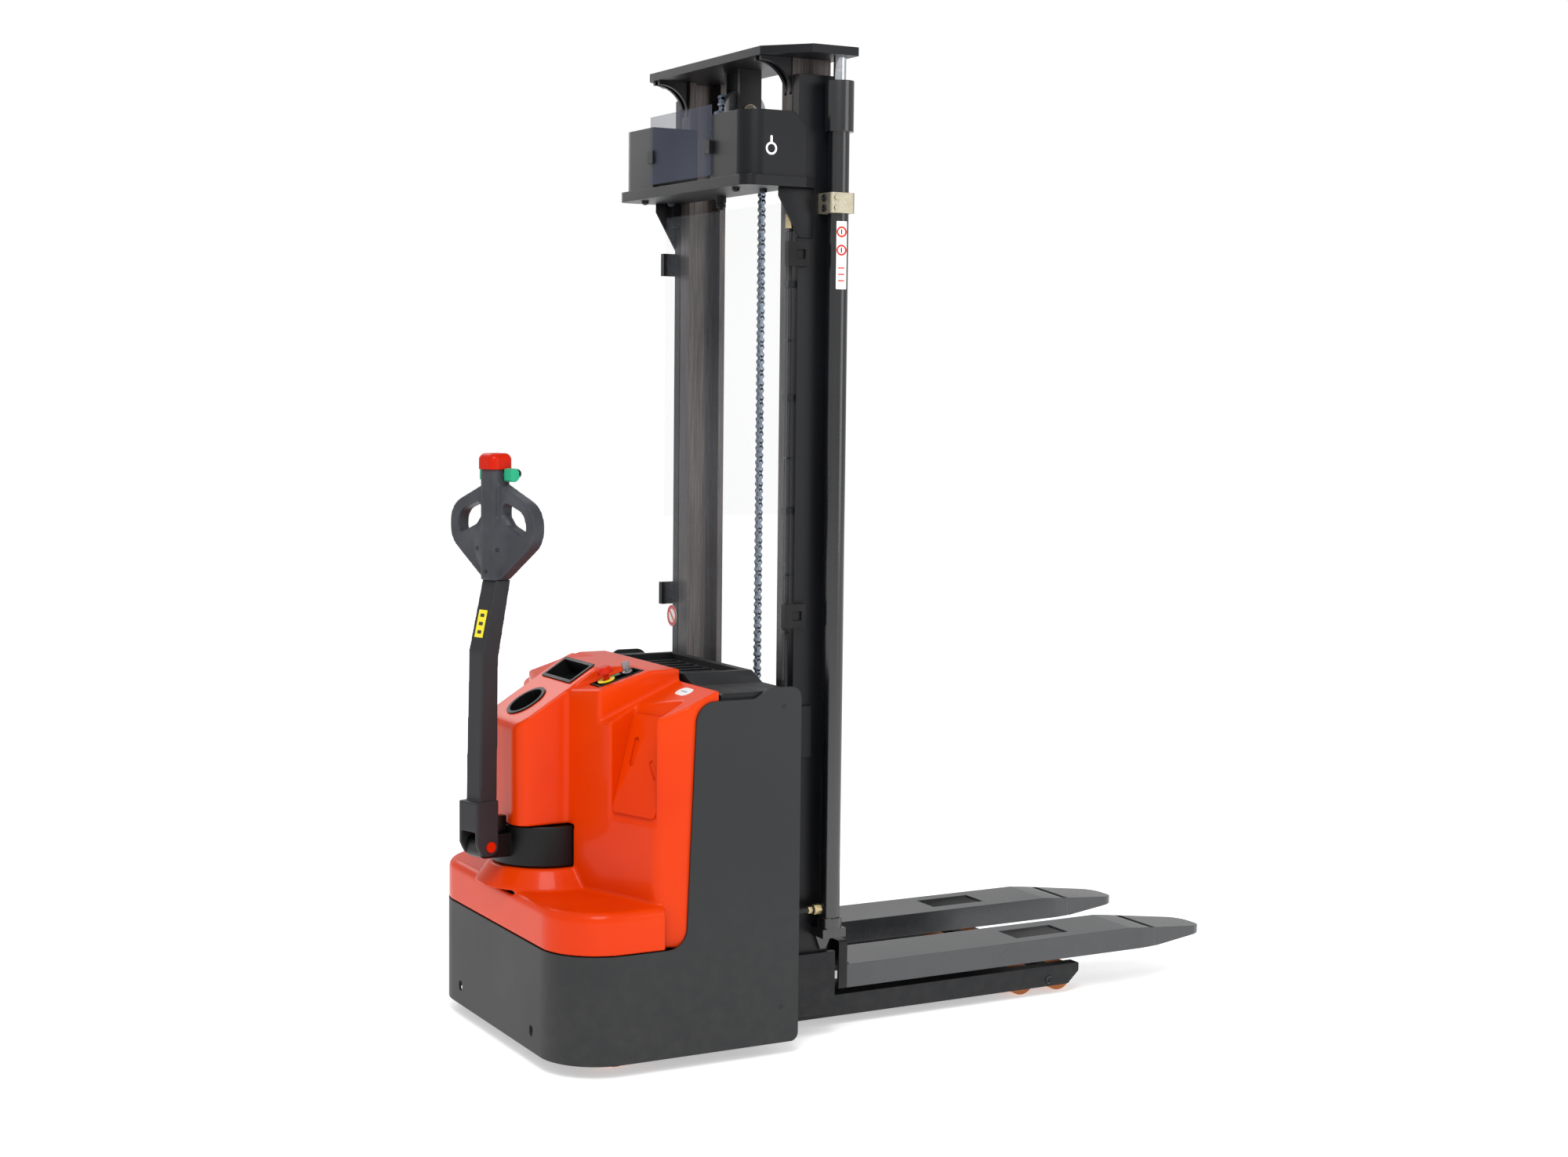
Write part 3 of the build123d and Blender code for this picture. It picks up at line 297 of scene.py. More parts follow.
def woven_hose(name, dark, light):
    paint = Paint(name)
    up = paint.coordinate("Z")
    side = paint.coordinate("X") + paint.coordinate("Y")
    one = paint.node("Math", {"operation": "SINE"}, {0: (up + side) * 2600.0})
    two = paint.node("Math", {"operation": "SINE"}, {0: (up - side) * 2600.0})
    weave = paint.ramp(one * two, -0.6, 0.6)
    return paint.finish(paint.mix(weave, dark, light), 0.62 - 0.12 * weave, paint.bump(weave, 0.0003))


def clear_sheet(name, veil, deep, pale):
    paint = Paint(name, Specular_IOR_Level=0.4)
    dust = paint.ramp(paint.noise(1.6, detail=2), 0.3, 0.8)
    feed(paint.tree, paint.shader.inputs["Alpha"], veil + veil * dust)
    return paint.finish(paint.mix(dust, deep, pale), 0.06 + 0.1 * dust)


wheel_tread = tread("wheel_tread", tint(168, 88, 24), tint(196, 112, 40), tint(70, 52, 38), 0.42)
drive_tread = tread("drive_tread", tint(22, 22, 22), tint(38, 38, 38), tint(90, 88, 84), 0.65)
hose_weave = woven_hose("hose_weave", tint(12, 12, 13), tint(40, 40, 42))
guard_clear = clear_sheet("guard_clear", 0.03, tint(176, 184, 194), tint(204, 210, 218))
screen_clear = clear_sheet("screen_clear", 0.26, tint(52, 58, 76), tint(76, 84, 104))
print("treads, hoses and sheets mixed")

# %% [markdown]
# ## Paint the frame
# Each part of the frame now gets its finish. A table of names is the clearest way: it reads like a parts
# list.

# %% One finish for each part
finishes = {
    mast_black: ["chassis_frame", "outer_rail_left", "outer_rail_right", "mast_crossbeam", "beam_cover",
                 "mast_tie", "top_plate", "carriage_frame"],
    skirt_grey: ["outer_skirt"],
    cover_red: ["rear_cover", "cover_hatch"],
    black_plastic: ["cup_liner", "tray_liner", "dash_panel", "mast_clips", "hose_clips", "lift_rocker"],
    knob_black: ["steering_drum"],
    lid_grey: ["battery_cover"],
    battery_case: ["battery_pack"],
    button_red: ["estop_button", "head_cap", "tiller_pin"],
    throttle_green: ["throttle"],
    head_grey: ["tiller_head"],
    arm_grey: ["tiller_arm"],
    fork_grey: ["fork_left", "fork_right"],
    leg_black: ["leg_left", "leg_right"],
    cylinder_black: ["cylinder_left", "cylinder_right"],
    rail_steel: ["inner_rail_left", "inner_rail_right"],
    rod_chrome: ["piston_rods"],
    chain_steel: ["lift_chain_rear", "lift_chain_front"],
    zinc_plate: ["cylinder_clamps", "caster_fork_left", "caster_fork_right"],
    machined: ["ignition_key", "bogie_left", "bogie_right", "stage_rollers", "chain_sheave",
               "carriage_rollers_lower", "carriage_rollers_upper"],
    cast_metal: ["pump_unit", "motor_controller", "drive_unit"],
    wheel_tread: [name for name in nodes if name.startswith(("load_wheel", "caster_wheel"))],
    drive_tread: ["drive_wheel"],
    hose_weave: ["hydraulic_hoses"],
    guard_clear: ["mast_guard"],
    screen_clear: ["beam_screen"],
}
painted = set()
for material, names in finishes.items():
    for name in names:
        mesh = nodes[name].data
        mesh.materials.clear()
        mesh.materials.append(material)
        painted.add(name)
print("painted", len(painted), "of", len(nodes), "parts; left over:", sorted(set(nodes) - painted))

# %% [markdown]
# ## Helpers for modelling
# The operators act on what is selected, and the frame's parts are selected after they load. So each new
# piece starts with nothing selected, and ends settled: at the origin, unturned and unscaled, with its
# place in its mesh.

# %% Modelling helpers
def alone(piece):
    """Only this piece is selected and active."""
    bpy.ops.object.select_all(action="DESELECT")
    piece.select_set(True)
    bpy.context.view_layer.objects.active = piece


def settle(piece):
    alone(piece)
    bpy.ops.object.transform_apply(location=True, rotation=True, scale=True)
    return piece


def named(name, material):
    piece = bpy.context.object
    piece.name = name
    piece.data.materials.clear()
    piece.data.materials.append(material)
    return piece


def new_box(name, material, low, high):
    """A box between two corners."""
    bpy.ops.object.select_all(action="DESELECT")
    centre = [(a + b) / 2 for a, b in zip(low, high)]
    size = [b - a for a, b in zip(low, high)]
    bpy.ops.mesh.primitive_cube_add(size=1, location=centre, scale=size)
    return settle(named(name, material))


def new_round(name, material, centre, radius, depth, along="Z", sides=32):
    """A cylinder along one axis."""
    bpy.ops.object.select_all(action="DESELECT")
    turn = {"X": (0, pi / 2, 0), "Y": (pi / 2, 0, 0), "Z": (0, 0, 0)}[along]
    bpy.ops.mesh.primitive_cylinder_add(vertices=sides, radius=radius, depth=depth, location=centre,
                                        rotation=turn)
    return settle(named(name, material))


def apply_modifier(piece, kind, **settings):
    alone(piece)
    modifier = piece.modifiers.new(kind.title(), kind)
    for key, value in settings.items():
        setattr(modifier, key, value)
    bpy.ops.object.modifier_apply(modifier=modifier.name)


def soften(piece, width=0.001, segments=2):
    """Rounds the sharp edges and shades the piece smooth."""
    apply_modifier(piece, "BEVEL", width=width, segments=segments, limit_method="ANGLE")
    alone(piece)
    bpy.ops.object.shade_smooth_by_angle(angle=radians(40))
    return piece


def join(name, pieces):
    """Several pieces become one object."""
    alone(pieces[0])
    for piece in pieces[1:]:
        piece.select_set(True)
    bpy.ops.object.join()
    pieces[0].name = name
    return pieces[0]


def stamp(name, master, places):
    """Copies of one piece at many places, joined; the master stands at the origin and points up +Z."""
    copies = []
    for place in places:
        copy = master.copy()
        copy.data = master.data.copy()
        bpy.context.collection.objects.link(copy)
        copy.matrix_world = place
        copies.append(settle(copy))
    return join(name, copies)


def facing(spot, normal, up=(0, 0, 1)):
    """A place whose +Z is the normal and whose +Y is as near to up as it can be."""
    normal = Vector(normal).normalized()
    side = Vector(up).cross(normal)
    if side.length < 0.001:
        side = Vector((0, 1, 0)).cross(normal)
    side.normalize()
    turn = Matrix((side, normal.cross(side), normal)).transposed().to_4x4()
    return Matrix.Translation(Vector(spot)) @ turn


def on_part(node, near):
    """The point and the outward normal of a part's surface nearest to a point."""
    mesh = nodes[node].data
    tree = BVHTree.FromPolygons([v.co for v in mesh.vertices], [list(f.vertices) for f in mesh.polygons])
    spot, normal, _, _ = tree.find_nearest(Vector(near))
    return spot, normal


def middle(node):
    low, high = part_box(node)
    return (Vector(low) + Vector(high)) / 2


print("helpers ready")

# %% [markdown]
# ## The moulded cover and handle
# The CAD parts have the true faces with crisp edges. A mould gives soft ones. A copy of each is welded,
# wrapped in an even grid of small faces by a voxel remesh, and relaxed with a Smooth modifier, which
# rounds inner and outer corners alike. A Decimate modifier then thins the faces where nothing is lost.
# The copies stand for the CAD parts.

# %% Soft-edged copies of the moulded parts
def moulded(name, node, body, material, voxel, rounds, keep):
    mesh = nodes[node].data.copy()
    piece = bpy.data.objects.new(name, mesh)
    bpy.context.collection.objects.link(piece)
    alone(piece)
    bpy.ops.object.mode_set(mode="EDIT")
    bpy.ops.mesh.select_all(action="SELECT")
    bpy.ops.mesh.remove_doubles(threshold=0.00005)
    bpy.ops.object.mode_set(mode="OBJECT")
    apply_modifier(piece, "REMESH", mode="VOXEL", voxel_size=voxel)
    apply_modifier(piece, "SMOOTH", factor=0.5, iterations=rounds)
    if keep < 1:
        apply_modifier(piece, "DECIMATE", ratio=keep)
    piece.data.materials.clear()
    piece.data.materials.append(material)
    alone(piece)
    bpy.ops.object.shade_smooth()
    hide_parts(node)
    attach(piece, body)
    print(name, len(piece.data.polygons), "faces")
    return piece


moulded("moulded_cover", "rear_cover", "root", cover_red, 0.0035, 9, 0.3)
moulded("moulded_handle", "tiller_head", "tiller", head_grey, 0.0024, 8, 0.6)
moulded("moulded_arm", "tiller_arm", "tiller", arm_grey, 0.0022, 2, 0.6)

# %% [markdown]
# ## The leaf chain
# A leaf chain is a stack of waisted plates on cross pins. One plate is two discs and a bar. Two sets of
# plates, set over each other by half a stack, make one unit of two pitches, and an Array modifier repeats
# it down each leg. Over the sheave the same unit is stamped round an arc. Each leg is scaled along its
# length so that it reaches from its lower end up to the sheave.

# %% Leaf chain
joints = {joint["name"]: joint for joint in frame["record"]["behaviour"]["joints"]}
sheave = Vector(joints["sheave_spin"]["pos_m"])
rear_low, rear_high = (Vector(corner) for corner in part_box("lift_chain_rear"))
front_low = Vector(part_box("lift_chain_front")[0])
rear_x = (rear_low.x + rear_high.x) / 2
wrap_radius = sheave.x - rear_x
pitch = wrap_radius * pi / 10
plate_thick = 0.0028
plate_radius = 0.0074


def chain_unit(name):
    """Two pitches of chain along Z, from the origin upwards."""
    pieces = []
    for half, start in ((0, 0.0), (1, pitch)):
        for layer in (-1, 0, 1):
            y = (layer * 2 + half - 0.5) * plate_thick * 1.05
            for z in (start, start + pitch):
                pieces.append(new_round("plate", chain_steel, (0, y, z), plate_radius, plate_thick, "Y", 10))
            low = (-plate_radius * 0.62, y - plate_thick / 2, start)
            high = (plate_radius * 0.62, y + plate_thick / 2, start + pitch)
            pieces.append(new_box("plate", chain_steel, low, high))
        pieces.append(new_round("pin", machined, (0, 0, start), 0.0026, plate_thick * 6.9, "Y", 8))
    return join(name, pieces)


def chain_leg(name, x, low, high):
    leg = chain_unit(name)
    count = int((high - low) / (2 * pitch))
    stretch = (high - low) / (count * 2 * pitch)
    apply_modifier(leg, "ARRAY", count=count, use_relative_offset=False, use_constant_offset=True,
                   constant_offset_displace=(0, 0, 2 * pitch))
    leg.scale.z = stretch
    leg.location = (x, 0, low)
    return settle(leg)


rear_leg = chain_leg("chain_rear_links", rear_x, rear_low.z, sheave.z)
front_x = sheave.x + wrap_radius
front_leg = chain_leg("chain_front_links", front_x, front_low.z, sheave.z)
unit = chain_unit("chain_unit")
turns = []
for step in range(5):
    turn = Matrix.Rotation(-2 * pi * step / 10, 4, "Y")
    turns.append(Matrix.Translation(sheave) @ turn @ Matrix.Translation((-wrap_radius, 0, 0)))
wrap = stamp("chain_wrap_links", unit, turns)
bpy.data.objects.remove(unit)
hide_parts("lift_chain_rear")
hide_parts("lift_chain_front")
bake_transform(rear_leg)
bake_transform(front_leg)
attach(wrap, "inner_mast")
print("chain pitch", round(pitch * 1000, 1), "mm;", len(front_leg.data.polygons), "faces in the long leg")

# %% [markdown]
# ## Screws and nuts
# Fasteners tell the eye how big a machine is. Two masters do for all of them: a hexagon nut on its
# washer, with a chamfered top, and a round screw head with a socket. Each is modelled once at the origin,
# pointing up, by insetting and extruding its top face, and stamped wherever the real machine has one.

# %% Fastener masters
def select_top(piece):
    """Only the highest flat face is selected, in edit mode."""
    alone(piece)
    bpy.ops.object.mode_set(mode="EDIT")
    bpy.ops.mesh.select_mode(type="FACE")
    bpy.ops.mesh.select_all(action="DESELECT")
    bpy.ops.object.mode_set(mode="OBJECT")
    top = max(face.center.z for face in piece.data.polygons)
    for face in piece.data.polygons:
        face.select = face.center.z > top - 0.00001
    bpy.ops.object.mode_set(mode="EDIT")


def nut_master(radius, material):
    nut = new_round("nut", material, (0, 0, radius * 0.5), radius, radius * 0.8, "Z", 6)
    select_top(nut)
    bpy.ops.mesh.inset(thickness=radius * 0.3, depth=radius * 0.06)
    bpy.ops.mesh.inset(thickness=radius * 0.12, depth=radius * 0.2)
    bpy.ops.object.mode_set(mode="OBJECT")
    washer = new_round("washer", material, (0, 0, radius * 0.08), radius * 1.25, radius * 0.16)
    return soften(join("nut_master", [nut, washer]), radius * 0.06)


def screw_master(radius, material):
    screw = new_round("screw", material, (0, 0, radius * 0.3), radius, radius * 0.6)
    select_top(screw)
    bpy.ops.mesh.inset(thickness=radius * 0.45, depth=0)
    bpy.ops.mesh.extrude_region_move(TRANSFORM_OT_translate={"value": (0, 0, -radius * 0.4)})
    bpy.ops.object.mode_set(mode="OBJECT")
    return soften(screw, radius * 0.12)


def fasten(name, master, spots, body):
    """Stamps a master at (spot, normal) pairs and lets the result ride on a body."""
    piece = stamp(name, master, [facing(spot, normal) for spot, normal in spots])
    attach(piece, body)
    return piece


dark_nut = nut_master(0.009, screw_steel)
small_screw = screw_master(0.0052, screw_steel)
print("two kinds of fastener ready")

# %% Fasteners on the mast and the chassis
skirt_high = Vector(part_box("outer_skirt")[1])
rail_low, rail_high = (Vector(corner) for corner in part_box("outer_rail_left"))
beam_low = Vector(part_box("mast_crossbeam")[0])
clamp_low, clamp_high = (Vector(corner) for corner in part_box("cylinder_clamps"))
cylinder = middle("cylinder_left")
front_edge = skirt_high.x
clamp_spots = []
panel_spots = []
for side in (-1, 1):
    for z in (clamp_low.z + 0.012, clamp_high.z - 0.012):
        clamp_spots.append(((clamp_low.x, side * 0.362, z), (-1, 0, 0)))
    for z in (0.12, 0.842):
        spot, normal = on_part("outer_skirt", (front_edge - 0.047, side * 0.5, z))
        panel_spots.append((spot - normal * 0.0026, normal))
fasten("clamp_screws", screw_master(0.0085, screw_steel), clamp_spots, "root")
fasten("panel_screws", small_screw, panel_spots, "root")
beam_spots = []
for side in (-1, 1):
    for x in (beam_low.x + 0.03, front_edge - 0.02):
        beam_spots.append(on_part("mast_crossbeam", (x, side * 0.25, 2.04)))
    for x in (beam_low.x + 0.03, front_edge - 0.02):
        beam_spots.append(on_part("mast_crossbeam", (x, side * 0.16, 2.11)))
fasten("beam_bolts", dark_nut, beam_spots, "root")
sheave_spots = [((sheave.x, side * 0.042, sheave.z), (0, side, 0)) for side in (-1, 1)]
fasten("sheave_nuts", nut_master(0.015, zinc_plate), sheave_spots, "inner_mast")
print(len(clamp_spots) + len(panel_spots) + len(beam_spots), "fasteners on the mast and chassis")

# %% Fasteners on the wheels
for side, sign in (("left", 1), ("right", -1)):
    pivot = Vector(joints[f"bogie_{side}_rock"]["pos_m"])
    leg_low, leg_high = (Vector(corner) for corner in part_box(f"leg_{side}"))
    outer = leg_high.y if sign > 0 else leg_low.y
    fasten(f"bogie_nut_{side}", dark_nut, [((pivot.x, outer, pivot.z), (0, sign, 0))], "root")
    fork = f"caster_fork_{side}"
    fork_low, fork_high = (Vector(corner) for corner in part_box(fork))
    axle = Vector(joints[f"caster_{side}_spin"]["pos_m"])
    ends = [((axle.x, fork_high.y, axle.z), (0, 1, 0)), ((axle.x, fork_low.y, axle.z), (0, -1, 0))]
    fasten(f"caster_nuts_{side}", dark_nut, ends, f"caster_{side}")
print("wheel nuts on")

# %% [markdown]
# ## Hubs
# A cast wheel has a steel centre with a tyre round it. Thin stepped rings, made by insetting a disc
# twice, show that on both faces of each load wheel, caster and the drive wheel, and they stay inside the
# space beside the wheel.

# %% Hub rings
def hub_rings(node, body, axis, outer, material, proud=0.0009):
    """A stepped disc on each face of a wheel."""
    disc = new_round("disc", material, (0, 0, proud / 2), outer, proud, "Z", 48)
    select_top(disc)
    bpy.ops.mesh.inset(thickness=outer * 0.18, depth=-proud * 0.6)
    bpy.ops.mesh.inset(thickness=outer * 0.35, depth=0)
    bpy.ops.mesh.inset(thickness=outer * 0.02, depth=proud * 0.5)
    bpy.ops.object.mode_set(mode="OBJECT")
    axis = Vector(axis).normalized()
    centre = middle(node)
    reach = max(abs(v.co.dot(axis) - centre.dot(axis)) for v in nodes[node].data.vertices)
    places = [facing(centre + axis * reach * sign, axis * sign) for sign in (-1, 1)]
    rings = stamp(node + "_hub", disc, places)
    bpy.data.objects.remove(disc)
    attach(rings, body)


for side in ("left", "right"):
    for end in ("rear", "front"):
        hub_rings(f"load_wheel_{side}_{end}", f"wheel_{side}_{end}", (0, 1, 0), 0.026, machined)
    hub_rings(f"caster_wheel_{side}", f"caster_{side}_wheel", (0, 1, 0), 0.03, machined)
hub_rings("drive_wheel", "drive", joints["drive_spin"]["axis"], 0.07, cast_metal)
print("hubs on 7 wheels")

# %% [markdown]
# ## Stickers
# Stickers are thin plates with rounded corners, laid on the nearest face of a part. They are printed with
# plain rings and bars only. Each print is a second, smaller plate that stands a little higher.

# %% Sticker finishes
def printed_film(name, colour, roughness=0.35):
    paint = Paint(name, Coat_Weight=0.3)
    cloud = paint.noise(40.0, detail=3)
    pale = tuple(part * 0.9 for part in colour[:3]) + (1.0,)
    return paint.finish(paint.mix(cloud, pale, colour), roughness + 0.1 * cloud, paint.bump(cloud, 0.00005))


film_white = printed_film("film_white", tint(236, 236, 234))
film_yellow = printed_film("film_yellow", tint(245, 226, 28))
film_red = printed_film("film_red", tint(205, 44, 34))
film_dark = printed_film("film_dark", tint(40, 40, 42))
film_blue = printed_film("film_blue", tint(120, 150, 176))


def plate(name, material, width, height, corner, thick, place):
    """A flat plate with rounded corners, laid at a place whose +Z is its face."""
    bpy.ops.object.select_all(action="DESELECT")
    bpy.ops.mesh.primitive_plane_add(size=1)
    piece = named(name, material)
    piece.scale = (width, height, 1)
    settle(piece)
    bpy.ops.object.mode_set(mode="EDIT")
    bpy.ops.mesh.select_all(action="SELECT")
    bpy.ops.mesh.bevel(offset=corner, segments=6, affect="VERTICES")
    bpy.ops.mesh.extrude_region_move(TRANSFORM_OT_translate={"value": (0, 0, thick)})
    bpy.ops.mesh.select_all(action="SELECT")
    bpy.ops.mesh.normals_make_consistent(inside=False)
    bpy.ops.object.mode_set(mode="OBJECT")
    piece.matrix_world = place
    return settle(piece)


def ring(name, material, radius, place, lift=0.0007):
    """A flat ring, printed on a sticker."""
    bpy.ops.object.select_all(action="DESELECT")
    bpy.ops.mesh.primitive_torus_add(major_radius=radius, minor_radius=radius * 0.2, major_segments=40,
                                     minor_segments=6)
    piece = named(name, material)
    piece.scale.z = 0.1
    settle(piece)
    piece.matrix_world = place @ Matrix.Translation((0, 0, lift))
    return settle(piece)


print("sticker films ready")

# %% Stickers in their places
label = facing((cylinder.x - 0.004, -cylinder.y - 0.0253, 1.905), (-0.16, -1, 0))
cylinder_label = [plate("label", film_white, 0.026, 0.16, 0.002, 0.0004, label)]
for height in (0.055, 0.012):
    spot = label @ Matrix.Translation((0, height, 0))
    cylinder_label.append(ring("label_ring", film_red, 0.0108, spot))
    cylinder_label.append(plate("label_bar", film_dark, 0.003, 0.012, 0.001, 0.0007, spot))
for height in (-0.03, -0.045, -0.06):
    spot = label @ Matrix.Translation((0, height, 0))
    cylinder_label.append(plate("label_bar", film_red, 0.016, 0.003, 0.001, 0.0007, spot))
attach(join("cylinder_label", cylinder_label), "root")

steer_axis = Vector(joints["steer"]["pos_m"])
tiller_pivot = Vector(joints["tiller_tilt"]["pos_m"])
rearward = Vector((tiller_pivot.x - steer_axis.x, tiller_pivot.y - steer_axis.y, 0)).normalized()
label_spot = tiller_pivot + Vector((0, 0, 1.052 - tiller_pivot.z)) + rearward * 0.1
spot, normal = on_part("tiller_arm", label_spot)
label = facing(spot, normal)
arm_label = [plate("label", film_yellow, 0.03, 0.066, 0.001, 0.0005, label)]
for height in (0.02, 0.0, -0.02):
    spot = label @ Matrix.Translation((0, height, 0))
    arm_label.append(plate("label_bar", film_dark, 0.014, 0.008, 0.001, 0.0008, spot))
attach(join("arm_label", arm_label), "tiller")

guard_low, guard_high = (Vector(corner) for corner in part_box("mast_guard"))
label = facing((guard_low.x, guard_high.y - 0.05, 0.99), (-1, 0, 0))
guard_label = [plate("label", film_white, 0.056, 0.056, 0.0279, 0.0004, label)]
guard_label.append(ring("label_ring", film_red, 0.023, label))
aslant = label @ Matrix.Rotation(pi / 4, 4, "Z")
guard_label.append(plate("label_bar", film_red, 0.006, 0.04, 0.002, 0.0007, aslant))
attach(join("guard_label", guard_label), "root")

spot, normal = on_part("rear_cover", (skirt_high.x - 0.275, -0.31, 0.93))
label = facing(spot, normal)
oval_badge = [plate("label", film_white, 0.06, 0.034, 0.0169, 0.0004, label)]
oval_badge.append(plate("label_bar", film_blue, 0.03, 0.004, 0.0015, 0.0007, label))
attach(join("cover_badge", oval_badge), "root")

spot, normal = on_part("beam_cover", (beam_low.x + 0.075, -0.6, 2.15))
label = facing(spot, normal)
hook_mark = [ring("label_ring", film_white, 0.0125, label, 0.0004)]
above = label @ Matrix.Translation((0, 0.02, 0))
hook_mark.append(plate("label_bar", film_white, 0.006, 0.02, 0.002, 0.0006, above))
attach(join("lifting_mark", hook_mark), "root")
print("five stickers on")

# %% [markdown]
# ## The control panel
# The emergency stop sits on a yellow collar, the key in a bright bezel, and between them a small window
# shows how full the battery is. The panel leans, so each piece is placed with the key's axis as its
# upright.

# %% Control panel details
panel_up = Vector(joints["key_turn"]["axis"]).normalized()
key_spot = Vector(joints["key_turn"]["pos_m"])
stop_spot = middle("estop_button")
stop_spot -= panel_up * (stop_spot - key_spot).dot(panel_up)


def panel_place(spot, height):
    return facing(spot + panel_up * height, panel_up, up=(0, 1, 0))


def collar(name, material, spot, inner, outer, height):
    """A washer-shaped ring that stands on the panel, made by insetting a disc's top and cutting out its
    middle.
    """
    piece = new_round(name, material, (0, 0, height / 2), outer, height, "Z", 48)
    select_top(piece)
    bpy.ops.mesh.inset(thickness=outer - inner, depth=0)
    bpy.ops.mesh.delete(type="FACE")
    bpy.ops.object.mode_set(mode="OBJECT")
    soften(piece, height * 0.2)
    piece.matrix_world = panel_place(spot, 0.0)
    return settle(piece)


stop_collar = collar("stop_collar", film_yellow, stop_spot, 0.0095, 0.021, 0.003)
key_bezel = collar("key_bezel", machined, key_spot, 0.0062, 0.0125, 0.004)
gauge_spot = (stop_spot + key_spot) / 2 + Vector((0, 0.016, 0))
gauge_place = panel_place(gauge_spot, -0.002)
gauge = [plate("gauge_frame", knob_black, 0.032, 0.022, 0.003, 0.003, gauge_place)]
for step in range(5):
    light = film_red if step == 0 else throttle_green
    spot = gauge_place @ Matrix.Translation((0.008 * 0.7 * (step - 2), 0, 0.0025))
    gauge.append(plate("gauge_bar", light, 0.004, 0.01, 0.0008, 0.0009, spot))
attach(stop_collar, "root")
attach(key_bezel, "root")
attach(join("battery_gauge", gauge), "root")
print("panel: collar, bezel and gauge")

# %% [markdown]
# ## Small steelwork and fittings
# The crossbeam is braced to each rail by a side plate with a slanted edge, cut here with the Bisect tool.
# The pipes end in brass nuts at the cylinders, the hoses in crimped ferrules, and ties hold the pair
# together. A weld bead runs along each fork's heel.

# %% Mast gussets, ferrules and ties
beam_under = on_part("mast_crossbeam", (rail_low.x, 0.25, 2.04))[0].z
gusset_foot = 1.945


def gusset(name, side):
    near, far = sorted((side * rail_high.y, side * (rail_high.y + 0.005)))
    low = (rail_low.x - 0.055, near, gusset_foot)
    piece = new_box(name, mast_black, low, (rail_low.x + 0.04, far, beam_under))
    bpy.ops.object.mode_set(mode="EDIT")
    bpy.ops.mesh.select_all(action="SELECT")
    corner = (rail_low.x - 0.05, 0, beam_under - 0.03)
    bpy.ops.mesh.bisect(plane_co=corner, plane_no=(-0.86, 0, -0.5), use_fill=True, clear_outer=True)
    bpy.ops.object.mode_set(mode="OBJECT")
    soften(piece, 0.0015)
    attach(piece, "root")


gusset("mast_gusset_left", 1)
gusset("mast_gusset_right", -1)
hose_x = front_edge + 0.018
hose_ys = (-0.306, -0.317)
tie_reach = 0.0062
pipe_z = 0.33
ferrules = []
for y in hose_ys:
    ferrules.append(new_round("ferrule", brass, (hose_x, y, 0.222), 0.0068, 0.03, "Z", 20))
    ferrules.append(new_round("ferrule", brass, (hose_x, y, beam_low.z - 0.018), 0.0068, 0.034, "Z", 20))
for side in (-1, 1):
    for back, radius, depth in ((0.036, 0.0135, 0.02), (0.052, 0.0095, 0.018)):
        spot = (cylinder.x - back, side * cylinder.y, pipe_z)
        ferrules.append(new_round("pipe_nut", brass, spot, radius, depth, "X", 6))
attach(soften(join("brass_fittings", ferrules), 0.0008), "root")
ties = []
for z in (0.56, 0.86, 1.0, 1.14, 1.42, 1.7, 1.96):
    low = (hose_x - tie_reach, hose_ys[1] - tie_reach, z)
    high = (hose_x + tie_reach, hose_ys[0] + tie_reach, z + 0.006)
    ties.append(new_box("tie", knob_black, low, high))
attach(soften(join("hose_ties", ties), 0.0025), "root")
print("gussets, fittings and ties on")

# %% Weld beads at the forks
for side, sign in (("left", 1), ("right", -1)):
    fork_low, fork_high = (Vector(corner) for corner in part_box(f"fork_{side}"))
    centre = (fork_low.x + 0.002, (fork_low.y + fork_high.y) / 2, fork_high.z - 0.0005)
    length = fork_high.y - fork_low.y - 0.006
    bead = new_round(f"weld_bead_{side}", fork_grey, centre, 0.0055, length, "Y", 12)
    bpy.ops.object.mode_set(mode="EDIT")
    bpy.ops.mesh.select_all(action="SELECT")
    bpy.ops.mesh.subdivide(number_cuts=6, fractal=0.12, seed=4)
    bpy.ops.object.mode_set(mode="OBJECT")
    bpy.ops.object.shade_smooth()
    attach(bead, "carriage")
print("weld beads laid")

# %% [markdown]
# ## The handle's trim and the arm's foot
# The handle is two shells held by screws, and the throttle's wings turn a black thumb knob on each side.
# At the foot of the arm a small switch tells the controller when the arm stands up or lies down.

# %% Handle screws and foot switch
throttle = Vector(joints["throttle_twist"]["pos_m"])
across = Vector(joints["throttle_twist"]["axis"]).normalized()
head = middle("tiller_head")
screws = []
for sideways, z in ((-0.062, 1.196), (0.062, 1.196), (0.0, 1.15)):
    outside = head + rearward * 0.12 + across * sideways
    outside.z = z
    hit, normal = on_part("tiller_head", outside)
    screws.append((hit - normal * 0.002, normal))
fasten("handle_screws", small_screw, screws, "tiller")
knobs = []
for side in (-1, 1):
    bpy.ops.object.select_all(action="DESELECT")
    spot = throttle - rearward * 0.016 + across * 0.047 * side + Vector((0, 0, 0.003))
    bpy.ops.mesh.primitive_uv_sphere_add(segments=32, ring_count=20, radius=0.0114, location=spot)
    knobs.append(settle(named("knob", knob_black)))
knobs = join("throttle_knobs", knobs)
bpy.ops.object.shade_smooth()
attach(knobs, "throttle")
switch = new_box("foot_switch", knob_black, (-0.012, -0.02, -0.016), (0.012, 0.02, 0.016))
soften(switch, 0.003)
switch.matrix_world = facing(tiller_pivot - rearward * 0.052 + Vector((0, 0, 0.046)), rearward)
settle(switch)
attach(switch, "steering")
print("handle screws and switch on")

# %% [markdown]
# ## The battery lid
# The lid is lifted by a lip at its edge. Raised ribs stiffen its recessed top, and a latch holds it. One
# rib is shaped and repeated with an Array modifier.

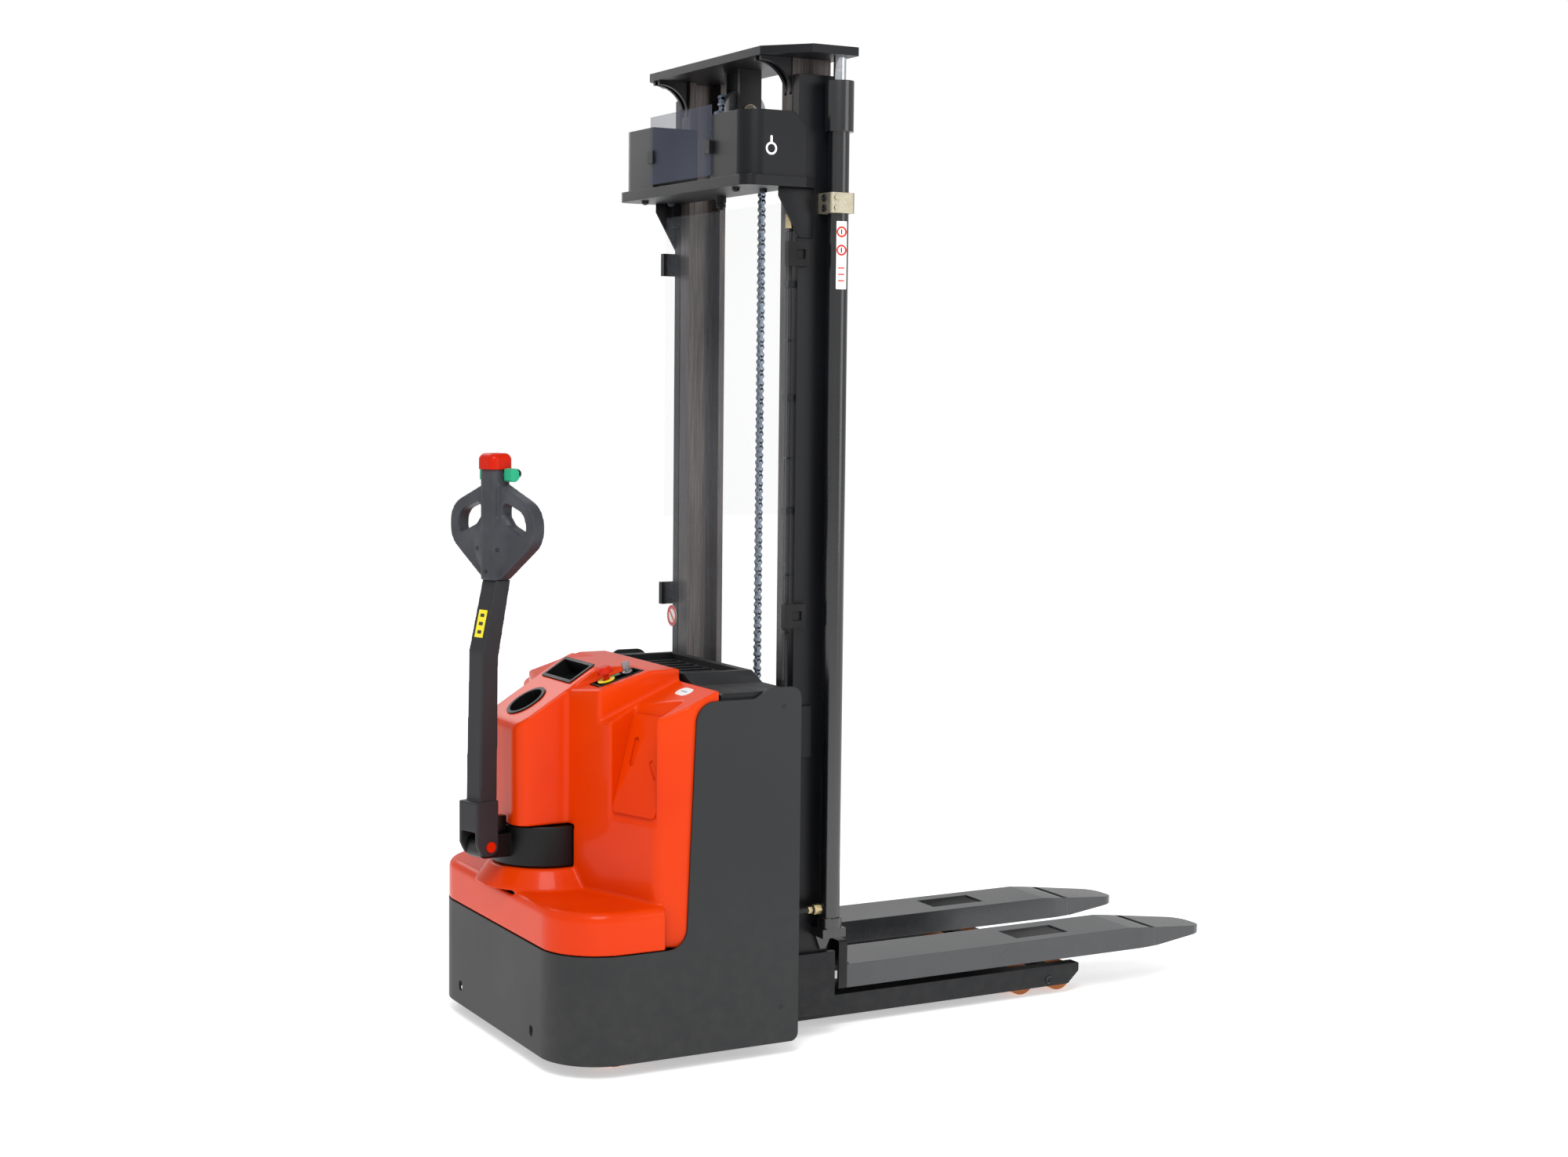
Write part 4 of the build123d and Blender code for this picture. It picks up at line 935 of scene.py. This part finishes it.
# %% Lid ribs and latch
lid_low, lid_high = (Vector(corner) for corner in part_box("battery_cover"))
floor_z = lid_high.z - 0.016
rib_low = (lid_low.x + 0.04, -0.15, floor_z - 0.001)
rib_high = (lid_high.x - 0.045, -0.14, floor_z + 0.004)
rib = new_box("lid_ribs", lid_grey, rib_low, rib_high)
soften(rib, 0.0018)
apply_modifier(rib, "ARRAY", count=7, use_relative_offset=False, use_constant_offset=True,
               constant_offset_displace=(0, 0.048, 0))
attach(rib, "lid")
latch_low = (lid_low.x + 0.03, -0.028, lid_low.z + 0.012)
latch_high = (lid_low.x + 0.055, 0.028, floor_z + 0.003)
latch = new_box("lid_latch", knob_black, latch_low, latch_high)
soften(latch, 0.003)
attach(latch, "lid")
print("lid finished")

# %% [markdown]
# ## Masters out, floor, light and camera
# The masters have done their work and are removed. The machine stands on a plain pale floor that glows a
# little. A wide soft light above the camera's side shapes the covers, a weaker one fills from the fork end,
# and a third comes from the far side. The sky lights the machine gently and still looks white. The camera
# looks from behind and to the right of the machine, slightly down.

# %% Remove the masters
for leftover in [o for o in bpy.data.objects if o.name.startswith(("nut_master", "screw", "nut"))]:
    if leftover.parent is None:
        bpy.data.objects.remove(leftover)

# %% Floor and light
def studio_floor():
    bpy.ops.object.select_all(action="DESELECT")
    bpy.ops.mesh.primitive_plane_add(size=40)
    paint = Paint("studio_floor")
    cloud = paint.noise(1.5, detail=2)
    colour = paint.mix(cloud, tint(246, 246, 247), tint(250, 250, 250))
    paint.shader.inputs["Emission Color"].default_value = (1, 1, 1, 1)
    paint.shader.inputs["Emission Strength"].default_value = 0.46
    floor = named("studio_floor", paint.finish(colour, 0.6 + 0.05 * cloud))


def soft_light(name, place, target, width, power):
    bpy.ops.object.light_add(type="AREA", location=place)
    light = bpy.context.object
    light.name = name
    light.data.shape = "RECTANGLE"
    light.data.size = width
    light.data.size_y = width * 1.3
    light.data.energy = power
    light.rotation_euler = (Vector(target) - Vector(place)).to_track_quat("-Z", "Y").to_euler()


studio_floor()
soft_light("key_light", (-1.9, -3.2, 4.6), (0, 0, 0.8), 2.0, 150)
soft_light("fill_light", (2.4, -4.4, 2.2), (0.2, 0, 0.8), 2.2, 36)
soft_light("back_light", (-1.0, 4.0, 3.4), (0, 0, 1.0), 2.0, 40)
world = bpy.data.worlds.new("pale_sky")
bpy.context.scene.world = world
world.use_nodes = True
sky = world.node_tree.nodes["Background"]
sky.inputs["Color"].default_value = (1.0, 1.0, 1.0, 1.0)
ray = world.node_tree.nodes.new("ShaderNodeLightPath")
seen = Field(world.node_tree, ray.outputs["Is Camera Ray"])
feed(world.node_tree, sky.inputs["Strength"], 0.62 + 0.38 * seen)
bpy.context.scene.view_settings.view_transform = "Standard"
print("floor, three lights and a pale sky")

# %% Camera
camera_place = (-2.9940, -5.1699, 1.5985)
heading = radians(28.87)
tilt_down = radians(4.79)
roll = radians(0.62)
bpy.ops.object.camera_add()
camera = bpy.context.object
camera.data.lens = 53.158
camera.data.sensor_width = 36.0
aim = Matrix.Rotation(-heading, 4, "Z") @ Matrix.Rotation(pi / 2 - tilt_down, 4, "X")
turn = aim @ Matrix.Rotation(roll, 4, "Z")
camera.matrix_world = Matrix.Translation(camera_place) @ turn
bpy.context.scene.camera = camera
print("camera set")
